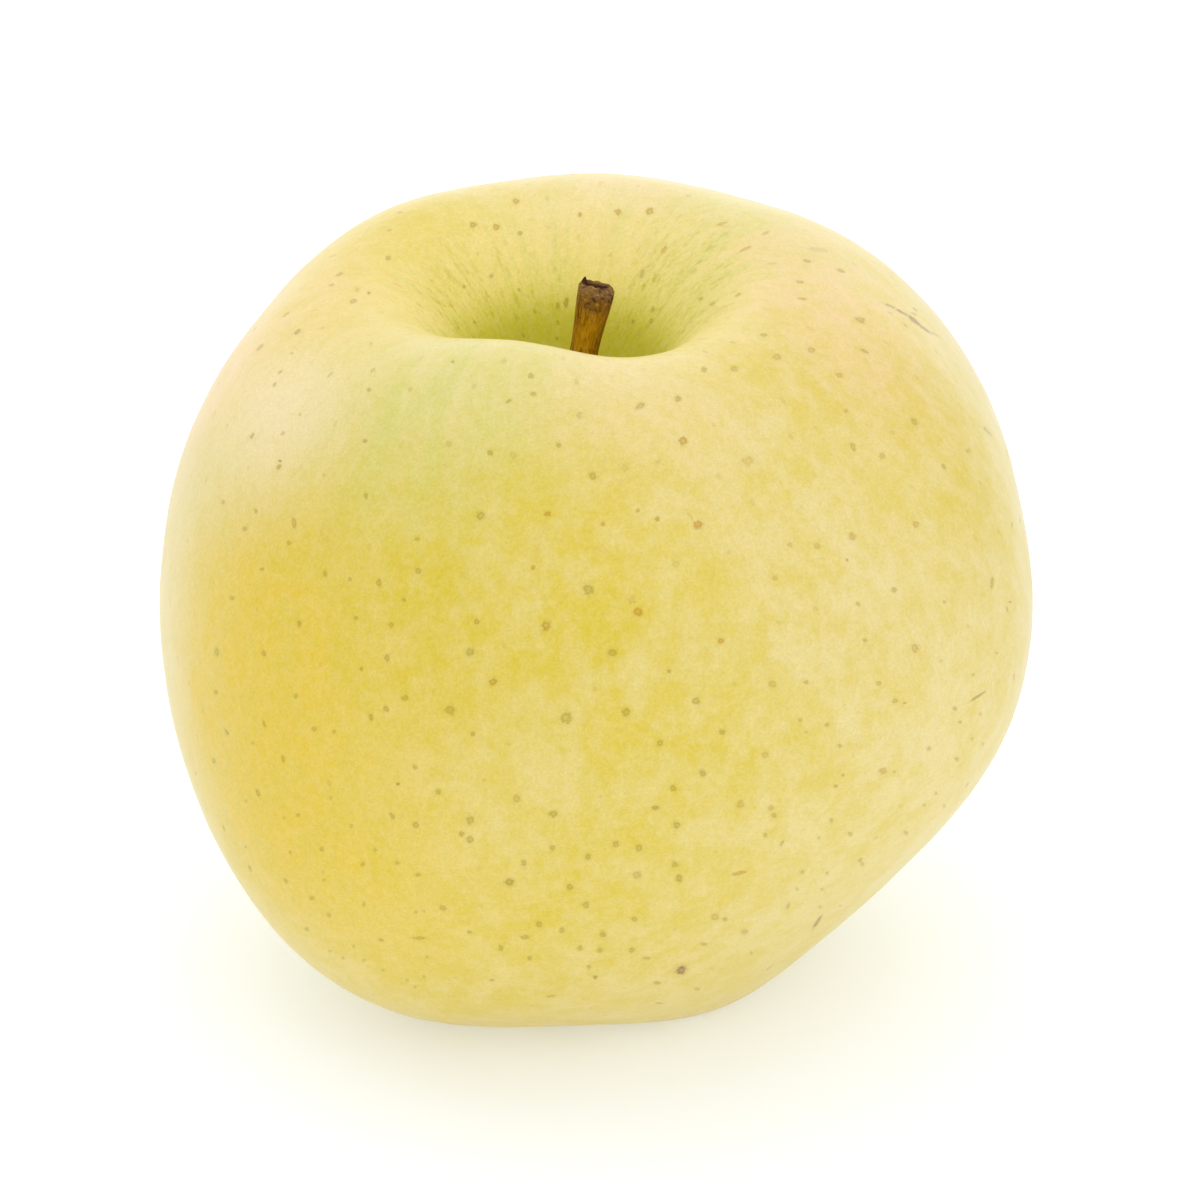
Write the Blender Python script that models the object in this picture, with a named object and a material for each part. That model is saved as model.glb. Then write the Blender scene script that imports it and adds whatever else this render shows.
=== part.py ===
# A whole yellow apple with its short woody stalk and the dried calyx underneath.
# Run it with: blender --background --python part.py
#
# The fruit stands on the plane z = 0, and the z axis runs through the middle of its box.
# Azimuths are degrees from +X towards +Y. The side with the widest belly faces +X,
# and the low lip of the stalk cavity faces -Y.

import math
from collections import namedtuple

import bmesh
import bpy
import numpy as np

# Lengths below are in millimetres, and this factor turns them into metres.
MM = 0.001

# The outline of the fruit without its ribs, as (radius, height) from the floor of the
# stalk cavity over the crest, the belly and the foot to the top of the calyx basin.
OUTLINE = (
    (0.0, 50.5), (2.2, 51.2), (5.0, 54.2), (9.0, 59.6), (13.6, 64.2), (18.8, 66.0),
    (25.3, 64.2), (31.3, 59.0), (35.6, 51.0), (37.4, 41.5), (37.0, 31.0), (34.0, 20.5),
    (28.4, 11.0), (22.0, 4.6), (16.5, 1.6), (11.5, 2.8), (7.0, 6.2), (3.0, 8.6), (0.0, 9.0),
)

# Where the parts of a rib lie along the outline, counted in its points.
CREST, SHOULDER, BELLY, FLANK, FOOT = 5.0, 7.2, 9.0, 11.5, 14.0
INNER_CREST, INNER_FOOT = 2.5, 16.5
INNER_CREST_SHARE, INNER_FOOT_SHARE = 0.45, 0.4

# How far each rib swells outwards at its parts, and its half width in degrees of azimuth.
# A negative swell is a valley.
Rib = namedtuple("Rib", "azimuth crest shoulder belly flank foot spread")
RIBS = (
    Rib(azimuth=-34, crest=-0.4, shoulder=-0.4, belly=5.4, flank=0.5, foot=1.2, spread=28),
    Rib(azimuth=14, crest=0.0, shoulder=-0.8, belly=-0.2, flank=0.2, foot=0.0, spread=16),
    Rib(azimuth=32, crest=1.0, shoulder=2.7, belly=4.5, flank=1.4, foot=1.2, spread=28),
    Rib(azimuth=80, crest=1.6, shoulder=1.6, belly=1.5, flank=1.0, foot=1.2, spread=28),
    Rib(azimuth=130, crest=1.4, shoulder=0.2, belly=0.9, flank=1.5, foot=1.2, spread=28),
    Rib(azimuth=162, crest=0.0, shoulder=-1.6, belly=-0.9, flank=0.6, foot=0.0, spread=26),
    Rib(azimuth=226, crest=-0.1, shoulder=0.2, belly=1.6, flank=3.8, foot=1.5, spread=28),
    Rib(azimuth=254, crest=1.75, shoulder=0.0, belly=0.0, flank=0.0, foot=0.0, spread=28),
    Rib(azimuth=300, crest=-0.2, shoulder=0.0, belly=0.0, flank=-0.6, foot=0.6, spread=24),
)

# The stalk cavity stands off the core, and the shift fades out over the shoulder.
CAVITY_SHIFT = -1.4
CAVITY_SHIFT_FULL, CAVITY_SHIFT_GONE = 4.0, 9.0

# The core's place, which brings the middle of the whole fruit over the origin.
CORE_X, CORE_Y = -1.3, -0.6
# How much of the lowest ribs is worn flat where the fruit stands.
FLAT_DEPTH = 0.6

FRUIT_SEGMENTS, FRUIT_RINGS = 88, 48

# The stalk: heights are measured as on the outline, and x from the core.
GAP = 0.3
STALK_FOOT = (-1.6, 0.0, 48.6)
STALK_TOP = (1.45, 0.0, 65.2)
STALK_BOW = 0.35
STALK_RADII = (1.5, 1.45, 1.3, 1.22, 1.22, 1.25, 1.3, 1.48, 1.66)
STALK_STEPS = 17
STALK_SIDES_SETTING = 8
STALK_TEETH = ((150, 0.6), (250, 0.2), (40, 0.3), (330, 0.15))
STALK_TOOTH_SPREAD = 24
STALK_PITH_DEPTH = 0.35

# The calyx: five withered sepals that hang from the basin and curl outwards.
SEPALS = 5
SEPAL_REACH, SEPAL_NOTCH = 4.6, 2.0
SEPAL_CURL = 0.1
SEPAL_THICKNESS, TUFT_THICKNESS = 0.7, 2.6
CALYX_HEIGHT = 7.0
CALYX_TURN = 20
CALYX_SEGMENTS, CALYX_RINGS = 50, 14


def smooth_curve(knots, values):
    """A function of t that runs through the values at the knots with an even bend."""
    knots = np.asarray(knots, float)
    values = np.asarray(values, float)
    count = len(knots)
    step = np.diff(knots)
    slope = np.diff(values) / step
    system = np.zeros((count, count))
    system[0, 0] = system[-1, -1] = 1
    right = np.zeros(count)
    for i in range(1, count - 1):
        system[i, i - 1] = step[i - 1]
        system[i, i] = 2 * (step[i - 1] + step[i])
        system[i, i + 1] = step[i]
        right[i] = 6 * (slope[i] - slope[i - 1])
    bend = np.linalg.solve(system, right)

    def at(t):
        i = np.clip(np.searchsorted(knots, t) - 1, 0, count - 2)
        after, before = knots[i + 1] - t, t - knots[i]
        return (
            (bend[i] * after ** 3 + bend[i + 1] * before ** 3) / (6 * step[i])
            + (values[i] / step[i] - bend[i] * step[i] / 6) * after
            + (values[i + 1] / step[i] - bend[i + 1] * step[i] / 6) * before
        )

    return at


def ease(t):
    """Runs smoothly from 0 to 1 as t does."""
    t = np.clip(t, 0, 1)
    return t * t * (3 - 2 * t)


def outline_curves():
    """Radius and height along the outline, mirrored past both poles so that it stays round."""
    r, z = zip(*OUTLINE)
    before, after = slice(3, 0, -1), slice(-2, -5, -1)
    knots = range(-3, len(OUTLINE) + 3)
    radius = [-v for v in r[before]] + list(r) + [-v for v in r[after]]
    height = list(z[before]) + list(z) + list(z[after])
    return smooth_curve(knots, radius), smooth_curve(knots, height)


def rib_curve(rib):
    """How far one rib swells along the outline."""
    last = len(OUTLINE) - 1
    knots = (-2, 0, INNER_CREST, CREST, SHOULDER, BELLY, FLANK, FOOT, INNER_FOOT, last, last + 2)
    swell = (
        0, 0, rib.crest * INNER_CREST_SHARE, rib.crest, rib.shoulder,
        rib.belly, rib.flank, rib.foot, rib.foot * INNER_FOOT_SHARE, 0, 0,
    )
    return smooth_curve(knots, swell)


def fruit_surface(along, azimuth):
    """Points on the skin in millimetres, for places along the outline and azimuths in radians."""
    radius_at, height_at = outline_curves()
    radius, height = radius_at(along), height_at(along)
    tiny = 0.001
    run = radius_at(along + tiny) - radius_at(along - tiny)
    rise = height_at(along + tiny) - height_at(along - tiny)
    length = np.hypot(run, rise)

    swell = np.zeros_like(along)
    for rib in RIBS:
        narrow = 1 - math.cos(math.radians(rib.spread))
        across = np.exp(-(1 - np.cos(azimuth - math.radians(rib.azimuth))) / narrow)
        swell += rib_curve(rib)(along) * across
    radius = radius - rise / length * swell
    height = height + run / length * swell

    fade = (along - CAVITY_SHIFT_FULL) / (CAVITY_SHIFT_GONE - CAVITY_SHIFT_FULL)
    x = radius * np.cos(azimuth) + CAVITY_SHIFT * (1 - ease(fade)) + CORE_X
    y = radius * np.sin(azimuth) + CORE_Y
    return np.stack([x, y, height], axis=-1)


def foot_level():
    """The height on the outline at which the lowest ribs are worn flat."""
    along, azimuth = np.meshgrid(np.linspace(13, 16, 61), np.radians(np.arange(0, 360, 2)))
    lowest = fruit_surface(along, azimuth)[..., 2].min()
    return lowest + FLAT_DEPTH


def linear(red, green, blue):
    """The colour that Blender's shaders take, from red, green and blue of 0 to 255."""
    def one(value):
        value /= 255
        return value / 12.92 if value <= 0.04045 else ((value + 0.055) / 1.055) ** 2.4
    return one(red), one(green), one(blue), 1.0


def make_material(name, colour, roughness):
    material = bpy.data.materials.new(name)
    material.use_nodes = True
    shader = material.node_tree.nodes["Principled BSDF"]
    shader.inputs["Base Color"].default_value = colour
    shader.inputs["Roughness"].default_value = roughness
    shader.inputs["Metallic"].default_value = 0.0
    material.diffuse_color = colour
    return material


def make_collection(name):
    collection = bpy.data.collections.new(name)
    bpy.context.scene.collection.children.link(collection)
    return collection


def add_object(name, data, collection, material=None):
    piece = bpy.data.objects.new(name, data)
    collection.objects.link(piece)
    if material:
        data.materials.append(material)
    return piece


def mesh_from(bm, name):
    """A mesh from the bmesh, with its faces pointing out."""
    bmesh.ops.recalc_face_normals(bm, faces=bm.faces)
    mesh = bpy.data.meshes.new(name)
    bm.to_mesh(mesh)
    bm.free()
    return mesh


def shade_round(mesh, sharp_degrees):
    mesh.shade_smooth()
    mesh.set_sharp_from_angle(angle=math.radians(sharp_degrees))


def sphere_angles(bm):
    """The polar angle and azimuth of each vertex of a unit sphere."""
    points = np.array([vertex.co for vertex in bm.verts])
    polar = np.arccos(np.clip(points[:, 2], -1, 1))
    return polar, np.arctan2(points[:, 1], points[:, 0])


def move_vertices(bm, points):
    for vertex, point in zip(bm.verts, points):
        vertex.co = [value * MM for value in point]


def make_fruit(collection, level):
    """A sphere whose rings are drawn onto the ribbed outline, worn flat where it stands."""
    bm = bmesh.new()
    bmesh.ops.create_uvsphere(bm, u_segments=FRUIT_SEGMENTS, v_segments=FRUIT_RINGS, radius=1)
    polar, azimuth = sphere_angles(bm)
    points = fruit_surface(polar / math.pi * (len(OUTLINE) - 1), azimuth)
    move_vertices(bm, points - (0, 0, level))

    everything = bm.verts[:] + bm.edges[:] + bm.faces[:]
    bmesh.ops.bisect_plane(bm, geom=everything, plane_co=(0, 0, 0), plane_no=(0, 0, -1), clear_outer=True)
    rims = [edge for edge in bm.edges if edge.is_boundary]
    bmesh.ops.holes_fill(bm, edges=rims)

    mesh = mesh_from(bm, "fruit")
    shade_round(mesh, sharp_degrees=30)
    skin = make_material("skin", linear(223, 203, 92), roughness=0.45)
    return add_object("fruit", mesh, collection, skin)


def stalk_point(share, level):
    """The stalk's centre line, from its foot at 0 to its top at 1."""
    foot, top = np.array(STALK_FOOT), np.array(STALK_TOP)
    centre = foot + (top - foot) * share
    centre[1] += STALK_BOW * math.sin(math.pi * share)
    return centre + (CORE_X, CORE_Y, -level)


def make_stalk(collection, level):
    """A tube that flares to a torn end, along a line with a slight bow."""
    shares = np.linspace(0, 1, STALK_STEPS)
    radius_at = smooth_curve(np.linspace(0, 1, len(STALK_RADII)), STALK_RADII)
    curve = bpy.data.curves.new("stalk", "CURVE")
    curve.dimensions = "3D"
    curve.bevel_depth = MM
    curve.bevel_resolution = STALK_SIDES_SETTING
    curve.use_fill_caps = True
    line = curve.splines.new("POLY")
    line.points.add(STALK_STEPS - 1)
    for point, share in zip(line.points, shares):
        point.co = [*(stalk_point(share, level) * MM), 1]
        point.radius = float(radius_at(share))
    guide = add_object("stalk_guide", curve, collection)
    bpy.context.view_layer.update()
    tube = bpy.data.meshes.new_from_object(guide.evaluated_get(bpy.context.evaluated_depsgraph_get()))
    bpy.data.objects.remove(guide)

    bm = bmesh.new()
    bm.from_mesh(tube)
    bmesh.ops.remove_doubles(bm, verts=bm.verts, dist=0.01 * MM)
    tear_end(bm, stalk_point(1.0, level))
    mesh = mesh_from(bm, "stalk")
    shade_round(mesh, sharp_degrees=40)
    bark = make_material("bark", linear(140, 101, 34), roughness=0.75)
    return add_object("stalk", mesh, collection, bark)


def tear_end(bm, top):
    """Raises teeth round the stalk's upper rim and sinks the pith between them."""
    middle_height = (STALK_FOOT[2] + STALK_TOP[2]) / 2 - STALK_TOP[2] + top[2]
    cap = [
        face for face in bm.faces
        if len(face.verts) == 3 and face.calc_center_median().z > middle_height * MM
    ]
    cap = bmesh.ops.dissolve_faces(bm, faces=cap)["region"]
    rim = list(cap[0].verts)
    pith = bmesh.ops.poke(bm, faces=cap)["verts"][0]
    pith.co.z -= STALK_PITH_DEPTH * MM
    for vertex in rim:
        around = math.degrees(math.atan2(vertex.co.y - top[1] * MM, vertex.co.x - top[0] * MM))
        for azimuth, height in STALK_TEETH:
            off = (around - azimuth + 180) % 360 - 180
            vertex.co.z += height * MM * math.exp(-(off / STALK_TOOTH_SPREAD) ** 2)


def make_socket_cutter(collection, level):
    """The hole that the stalk stands in, a gap wider than its foot."""
    foot, above = stalk_point(0.0, level), stalk_point(0.3, level)
    lean = math.atan2(above[0] - foot[0], above[2] - foot[2])
    deep = STALK_RADII[0] * math.sin(lean) + GAP
    length = 8.0
    bm = bmesh.new()
    bmesh.ops.create_cone(
        bm, cap_ends=True, segments=24, depth=length * MM,
        radius1=(STALK_RADII[0] + GAP) * MM, radius2=(STALK_RADII[0] + GAP) * MM)
    bmesh.ops.translate(bm, vec=(0, 0, (length / 2 - deep) * MM), verts=bm.verts)
    cutter = add_object("stalk_socket", mesh_from(bm, "stalk_socket"), collection)
    cutter.location = foot * MM
    cutter.rotation_euler = (0, lean, 0)
    cutter.hide_render = True
    cutter.display_type = "WIRE"
    return cutter


def cut(piece, cutter):
    boolean = piece.modifiers.new(cutter.name, "BOOLEAN")
    boolean.operation = "DIFFERENCE"
    boolean.solver = "EXACT"
    boolean.object = cutter


def make_calyx(collection, level):
    """A sphere flattened into a star whose five points curl down out of the basin."""
    bm = bmesh.new()
    bmesh.ops.create_uvsphere(bm, u_segments=CALYX_SEGMENTS, v_segments=CALYX_RINGS, radius=1)
    polar, azimuth = sphere_angles(bm)
    star = np.abs(np.cos(SEPALS / 2 * (azimuth - math.radians(CALYX_TURN)))) ** 1.5
    reach = SEPAL_NOTCH + (SEPAL_REACH - SEPAL_NOTCH) * star
    radius = reach * np.sin(polar)
    share = radius / SEPAL_REACH
    thickness = SEPAL_THICKNESS + (TUFT_THICKNESS - SEPAL_THICKNESS) * (1 - ease(share * 1.5))
    height = CALYX_HEIGHT - SEPAL_CURL * radius ** 2 + thickness / 2 * np.cos(polar)
    x = radius * np.cos(azimuth) + CORE_X
    y = radius * np.sin(azimuth) + CORE_Y
    move_vertices(bm, np.stack([x, y, height - level], axis=-1))
    mesh = mesh_from(bm, "calyx")
    shade_round(mesh, sharp_degrees=60)
    husk = make_material("husk", linear(104, 84, 52), roughness=0.85)
    return add_object("calyx", mesh, collection, husk)


def clear_scene():
    for piece in list(bpy.data.objects):
        bpy.data.objects.remove(piece)


def main():
    clear_scene()
    pieces = make_collection("yellow_apple")
    cutters = make_collection("cutters")
    level = foot_level()
    fruit = make_fruit(pieces, level)
    make_stalk(pieces, level)
    make_calyx(pieces, level)
    cut(fruit, make_socket_cutter(cutters, level))


main()
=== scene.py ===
# %% [markdown]
# # A whole yellow apple with its stalk
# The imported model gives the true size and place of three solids: the fruit, the woody stalk
# in its cavity, and the dried calyx underneath. This lesson dresses them. Each solid gets a
# finer piece with the small forms that a solid can do without, and a finish made of nodes.
# Every length in this file is in millimetres until the last moment, when MM turns it into
# metres, because a fruit is easier to think about in millimetres.

import math
from collections import namedtuple

import bpy
import numpy as np
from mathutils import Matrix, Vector, kdtree, noise
from mathutils.bvhtree import BVHTree


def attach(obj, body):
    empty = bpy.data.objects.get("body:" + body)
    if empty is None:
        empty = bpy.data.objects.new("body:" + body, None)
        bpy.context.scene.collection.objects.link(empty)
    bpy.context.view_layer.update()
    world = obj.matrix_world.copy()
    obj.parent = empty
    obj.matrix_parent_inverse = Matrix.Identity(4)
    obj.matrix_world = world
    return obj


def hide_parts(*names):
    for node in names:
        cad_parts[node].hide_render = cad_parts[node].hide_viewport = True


MM = 0.001
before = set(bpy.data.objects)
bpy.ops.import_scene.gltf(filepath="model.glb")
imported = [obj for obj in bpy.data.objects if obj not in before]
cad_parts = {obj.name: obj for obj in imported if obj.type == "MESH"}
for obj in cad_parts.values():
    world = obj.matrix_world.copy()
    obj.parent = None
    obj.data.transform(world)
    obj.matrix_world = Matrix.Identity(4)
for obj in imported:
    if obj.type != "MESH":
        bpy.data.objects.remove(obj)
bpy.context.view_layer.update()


# %% [markdown]
# ## The camera
# The photograph looks down on the fruit at about 26 degrees, from about 60 cm away. At that
# distance the fruit shows little perspective, so the lens is long. The camera could also be
# aimed by hand, but a written place lets us turn a spot in the photograph into a ray, which
# helps later: marks that are read off the photograph land where they belong on the skin.

# %% Place the camera
ELEVATION = math.radians(26.0)
DISTANCE = 600.0
AIM = Vector((0.5, -0.5, 34.6))
LENS, SENSOR = 200.7, 36.0
PHOTO_SIZE = 1200

RIGHT = Vector((1, 0, 0))
UP = Vector((0, math.sin(ELEVATION), math.cos(ELEVATION)))
BACK = Vector((0, -math.cos(ELEVATION), math.sin(ELEVATION)))
EYE = AIM + BACK * DISTANCE

camera_data = bpy.data.cameras.new("camera")
camera_data.lens = LENS
camera_data.sensor_width = SENSOR
camera = bpy.data.objects.new("camera", camera_data)
camera.location = EYE * MM
camera.rotation_euler = (math.pi / 2 - ELEVATION, 0, 0)
bpy.context.scene.collection.objects.link(camera)
bpy.context.scene.camera = camera


def ray_through(x, y):
    """The direction from the camera through a pixel of the photograph."""
    focal = LENS / SENSOR * PHOTO_SIZE
    across, down = (x - PHOTO_SIZE / 2) / focal, (y - PHOTO_SIZE / 2) / focal
    return (RIGHT * across - UP * down - BACK).normalized()


print("camera at, mm:", [round(v, 1) for v in EYE])

# %% [markdown]
# ## Floor and light
# The fruit was taken in front of plain white, so white surrounds it on all sides but the
# camera's. That is why its rims are pale: near the rim a waxy skin reflects what stands
# beside and behind it. A bright panel behind the fruit gives the same pale rims, and the side
# that faces the camera keeps its deeper yellow. Part of the pale rims and shoulders is also
# painted into the skin's colour further down, as a painted reflection and a painted highlight.
# The floor is a board that is lit a little from below, so the foot of the fruit stays nearly
# as bright as its belly.

# %% Lay the floor and hang the panels
scene = bpy.context.scene
scene.view_settings.view_transform = "Standard"

FLOOR_HALF = 3000.0
SQUARE = ((-1, -1), (1, -1), (1, 1), (-1, 1))
FLOOR_WHITE, FLOOR_GLOW, FLOOR_GLOW_STRENGTH = (224, 226, 229), (240, 246, 255), 0.39
FLOOR_ROUGHNESS, FLOOR_SPECULAR = 0.9, 0.1
ROOM_WHITE, ROOM_STRENGTH = (250, 250, 250), 0.7


def linear(red, green, blue):
    """The colour that Blender's shaders take, from red, green and blue of 0 to 255."""
    def one(value):
        value /= 255
        return value / 12.92 if value <= 0.04045 else ((value + 0.055) / 1.055) ** 2.4
    return one(red), one(green), one(blue), 1.0


floor_mesh = bpy.data.meshes.new("floor")
corners = [(x * FLOOR_HALF * MM, y * FLOOR_HALF * MM, 0) for x, y in SQUARE]
floor_mesh.from_pydata(corners, [], [(0, 1, 2, 3)])
floor = bpy.data.objects.new("floor", floor_mesh)
scene.collection.objects.link(floor)
floor_finish = bpy.data.materials.new("white_board")
floor_finish.use_nodes = True
floor_shader = floor_finish.node_tree.nodes["Principled BSDF"]
floor_shader.inputs["Base Color"].default_value = linear(*FLOOR_WHITE)
floor_shader.inputs["Roughness"].default_value = FLOOR_ROUGHNESS
floor_shader.inputs["Specular IOR Level"].default_value = FLOOR_SPECULAR
floor_shader.inputs["Emission Color"].default_value = linear(*FLOOR_GLOW)
floor_shader.inputs["Emission Strength"].default_value = FLOOR_GLOW_STRENGTH
floor_mesh.materials.append(floor_finish)

world = bpy.data.worlds.new("white_room")
world.use_nodes = True
background = world.node_tree.nodes["Background"]
background.inputs["Color"].default_value = linear(*ROOM_WHITE)
background.inputs["Strength"].default_value = ROOM_STRENGTH
scene.world = world

Panel = namedtuple("Panel", "name place width tall watts")
PANELS = (
    Panel("panel_behind", (-140, 490, 300), 1480, 700, 2.2),
    Panel("panel_right", (640, -120, 320), 700, 700, 0.4),
    Panel("panel_front", (120, -700, 500), 1000, 700, 1.35),
    Panel("panel_above", (0, 0, 800), 900, 900, 1.7),
)
for panel in PANELS:
    lamp = bpy.data.lights.new(panel.name, "AREA")
    lamp.shape = "RECTANGLE"
    lamp.size, lamp.size_y = panel.width * MM, panel.tall * MM
    lamp.energy = panel.watts
    holder = bpy.data.objects.new(panel.name, lamp)
    holder.location = Vector(panel.place) * MM
    holder.rotation_euler = (AIM - Vector(panel.place)).to_track_quat("-Z", "Y").to_euler()
    holder.visible_camera = False
    scene.collection.objects.link(holder)
print("panels:", [panel.name for panel in PANELS])

# %% [markdown]
# ## The shape of the skin
# An apple is a turned shape that grew unevenly. The solid was drawn as one outline from the
# floor of the stalk cavity to the top of the calyx basin, turned round the core, with broad
# ribs that swell and sink. Sculpting by hand would also give a natural shape, but then the
# skin and the solid would drift apart. So the skin is drawn from the same outline and the
# same ribs, only with far more points.

# %% Outline and ribs
OUTLINE = (
    (0.0, 50.5), (2.2, 51.2), (5.0, 54.2), (9.0, 59.6), (13.6, 64.2), (18.8, 66.0),
    (25.3, 64.2), (31.3, 59.0), (35.6, 51.0), (37.4, 41.5), (37.0, 31.0), (34.0, 20.5),
    (28.4, 11.0), (22.0, 4.6), (16.5, 1.6), (11.5, 2.8), (7.0, 6.2), (3.0, 8.6), (0.0, 9.0),
)
LAST = len(OUTLINE) - 1
CREST, SHOULDER, BELLY, FLANK, FOOT = 5.0, 7.2, 9.0, 11.5, 14.0
INNER_CREST, INNER_FOOT = 2.5, 16.5
INNER_CREST_SHARE, INNER_FOOT_SHARE = 0.45, 0.4

Rib = namedtuple("Rib", "azimuth crest shoulder belly flank foot spread")
# The azimuth and the spread are in degrees, the swell at the five places in millimetres.
RIBS = [Rib(*numbers) for numbers in (
    (-34, -0.4, -0.4, 5.4, 0.5, 1.2, 28),
    (14, 0.0, -0.8, -0.2, 0.2, 0.0, 16),
    (32, 1.0, 2.7, 4.5, 1.4, 1.2, 28),
    (80, 1.6, 1.6, 1.5, 1.0, 1.2, 28),
    (130, 1.4, 0.2, 0.9, 1.5, 1.2, 28),
    (162, 0.0, -1.6, -0.9, 0.6, 0.0, 26),
    (226, -0.1, 0.2, 1.6, 3.8, 1.5, 28),
    (254, 1.75, 0.0, 0.0, 0.0, 0.0, 28),
    (300, -0.2, 0.0, 0.0, -0.6, 0.6, 24),
)]
CAVITY_SHIFT = -1.4
CAVITY_SHIFT_FULL, CAVITY_SHIFT_GONE = 4.0, 9.0
CORE_X, CORE_Y = -1.3, -0.6
FLAT_DEPTH = 0.6
PAST_POLE = 2
FEET_FROM, FEET_TO = 13, 16


def ease(t):
    """Runs smoothly from 0 to 1 as t does."""
    t = np.clip(t, 0, 1)
    return t * t * (3 - 2 * t)


def smooth_curve(knots, values):
    """A function of t that runs through the values at the knots with an even bend."""
    knots = np.asarray(knots, float)
    values = np.asarray(values, float)
    count = len(knots)
    step = np.diff(knots)
    slope = np.diff(values) / step
    system = np.zeros((count, count))
    system[0, 0] = system[-1, -1] = 1
    right = np.zeros(count)
    for i in range(1, count - 1):
        system[i, i - 1] = step[i - 1]
        system[i, i] = 2 * (step[i - 1] + step[i])
        system[i, i + 1] = step[i]
        right[i] = 6 * (slope[i] - slope[i - 1])
    bend = np.linalg.solve(system, right)

    def at(t):
        i = np.clip(np.searchsorted(knots, t) - 1, 0, count - 2)
        after, before = knots[i + 1] - t, t - knots[i]
        return (
            (bend[i] * after ** 3 + bend[i + 1] * before ** 3) / (6 * step[i])
            + (values[i] / step[i] - bend[i] * step[i] / 6) * after
            + (values[i + 1] / step[i] - bend[i + 1] * step[i] / 6) * before
        )

    return at


def outline_curves():
    """Radius and height along the outline, mirrored past both poles so that it stays round."""
    r, z = zip(*OUTLINE)
    before, after = slice(3, 0, -1), slice(-2, -5, -1)
    knots = range(-3, len(OUTLINE) + 3)
    radius = [-v for v in r[before]] + list(r) + [-v for v in r[after]]
    height = list(z[before]) + list(z) + list(z[after])
    return smooth_curve(knots, radius), smooth_curve(knots, height)


radius_at, height_at = outline_curves()
print("outline points:", len(OUTLINE), "ribs:", len(RIBS))

# %% Points on the skin


def rib_curve(rib):
    """How far one rib swells along the outline."""
    knots = (
        -PAST_POLE, 0, INNER_CREST, CREST, SHOULDER,
        BELLY, FLANK, FOOT, INNER_FOOT, LAST, LAST + PAST_POLE,
    )
    swell = (
        0, 0, rib.crest * INNER_CREST_SHARE, rib.crest, rib.shoulder,
        rib.belly, rib.flank, rib.foot, rib.foot * INNER_FOOT_SHARE, 0, 0,
    )
    return smooth_curve(knots, swell)


def skin_points(along, azimuth):
    """Points on the skin, for places along the outline and azimuths in radians."""
    radius, height = radius_at(along), height_at(along)
    tiny = 0.001
    run = radius_at(along + tiny) - radius_at(along - tiny)
    rise = height_at(along + tiny) - height_at(along - tiny)
    length = np.hypot(run, rise)
    swell = np.zeros_like(along)
    for rib in RIBS:
        narrow = 1 - math.cos(math.radians(rib.spread))
        across = np.exp(-(1 - np.cos(azimuth - math.radians(rib.azimuth))) / narrow)
        swell += rib_curve(rib)(along) * across
    radius = radius - rise / length * swell
    height = height + run / length * swell
    fade = (along - CAVITY_SHIFT_FULL) / (CAVITY_SHIFT_GONE - CAVITY_SHIFT_FULL)
    x = radius * np.cos(azimuth) + CAVITY_SHIFT * (1 - ease(fade)) + CORE_X
    y = radius * np.sin(azimuth) + CORE_Y
    return np.stack([x, y, height], axis=-1)


feet = np.meshgrid(np.linspace(FEET_FROM, FEET_TO, 61), np.radians(np.arange(0, 360, 2)))
LEVEL = skin_points(*feet)[..., 2].min() + FLAT_DEPTH
print("the fruit is worn flat at, mm on the outline:", round(float(LEVEL), 3))

# %% [markdown]
# ## From rings of points to a piece
# Skin, stalk, sepals and stamens are all tubes that close at both ends, so one small helper
# makes them all. It takes rings of points, joins each ring to the next with quads, and
# closes the first and last ring to one point. Blender's own spin tool and bevelled curves
# could make such shapes too, but rings keep the place of every point in our hands.

# %% The ring helper


def per_point(grid):
    """Values or points of a grid of rings, in the order of the mesh's points."""
    inner = grid[1:-1].reshape(-1, *grid.shape[2:])
    return np.concatenate([grid[:1].mean(axis=1), inner, grid[-1:].mean(axis=1)])


def ring_mesh(name, rings):
    """A closed mesh from rings of points. The first and last ring shrink to their middle."""
    count, around = rings.shape[:2]
    points = per_point(rings)
    first = 1 + np.arange(count - 2)[:, None] * around + np.arange(around)[None, :]
    after = np.roll(first, -1, axis=1)
    quads = np.stack([first[:-1], first[1:], after[1:], after[:-1]], axis=-1).reshape(-1, 4)
    last = len(points) - 1
    top = [(0, int(a), int(b)) for a, b in zip(first[0], after[0])]
    bottom = [(last, int(b), int(a)) for a, b in zip(first[-1], after[-1])]
    mesh = bpy.data.meshes.new(name)
    mesh.from_pydata((points * MM).tolist(), [], top + quads.tolist() + bottom)
    mesh.shade_smooth()
    return mesh


def give(mesh, name, values, kind="FLOAT", domain="POINT"):
    """Stores values on a mesh, where the nodes can read them by name."""
    store = mesh.attributes.new(name, kind, domain)
    field = "value" if kind == "FLOAT" else "vector"
    store.data.foreach_set(field, np.asarray(values, np.float32).ravel())


def add_piece(mesh, finish):
    """An object for the mesh, with its finish, on the part's only body."""
    piece = bpy.data.objects.new(mesh.name, mesh)
    scene.collection.objects.link(piece)
    mesh.materials.append(finish)
    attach(piece, "root")
    return piece


def noise_at(points, size, seed=0.0):
    """Blender's own noise at each point, from about -1 to 1, with lumps of the given size."""
    shift = Vector((seed, seed * 1.7, -seed))
    return np.array([noise.noise(Vector(p) / size + shift) for p in points])


# %% [markdown]
# ## The stalk's line
# The stalk stands in a small pit in the cavity's floor and leans to the right. Skin and
# stalk both need its line: the skin to sink the pit round it, the stalk to grow along it.

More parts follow.
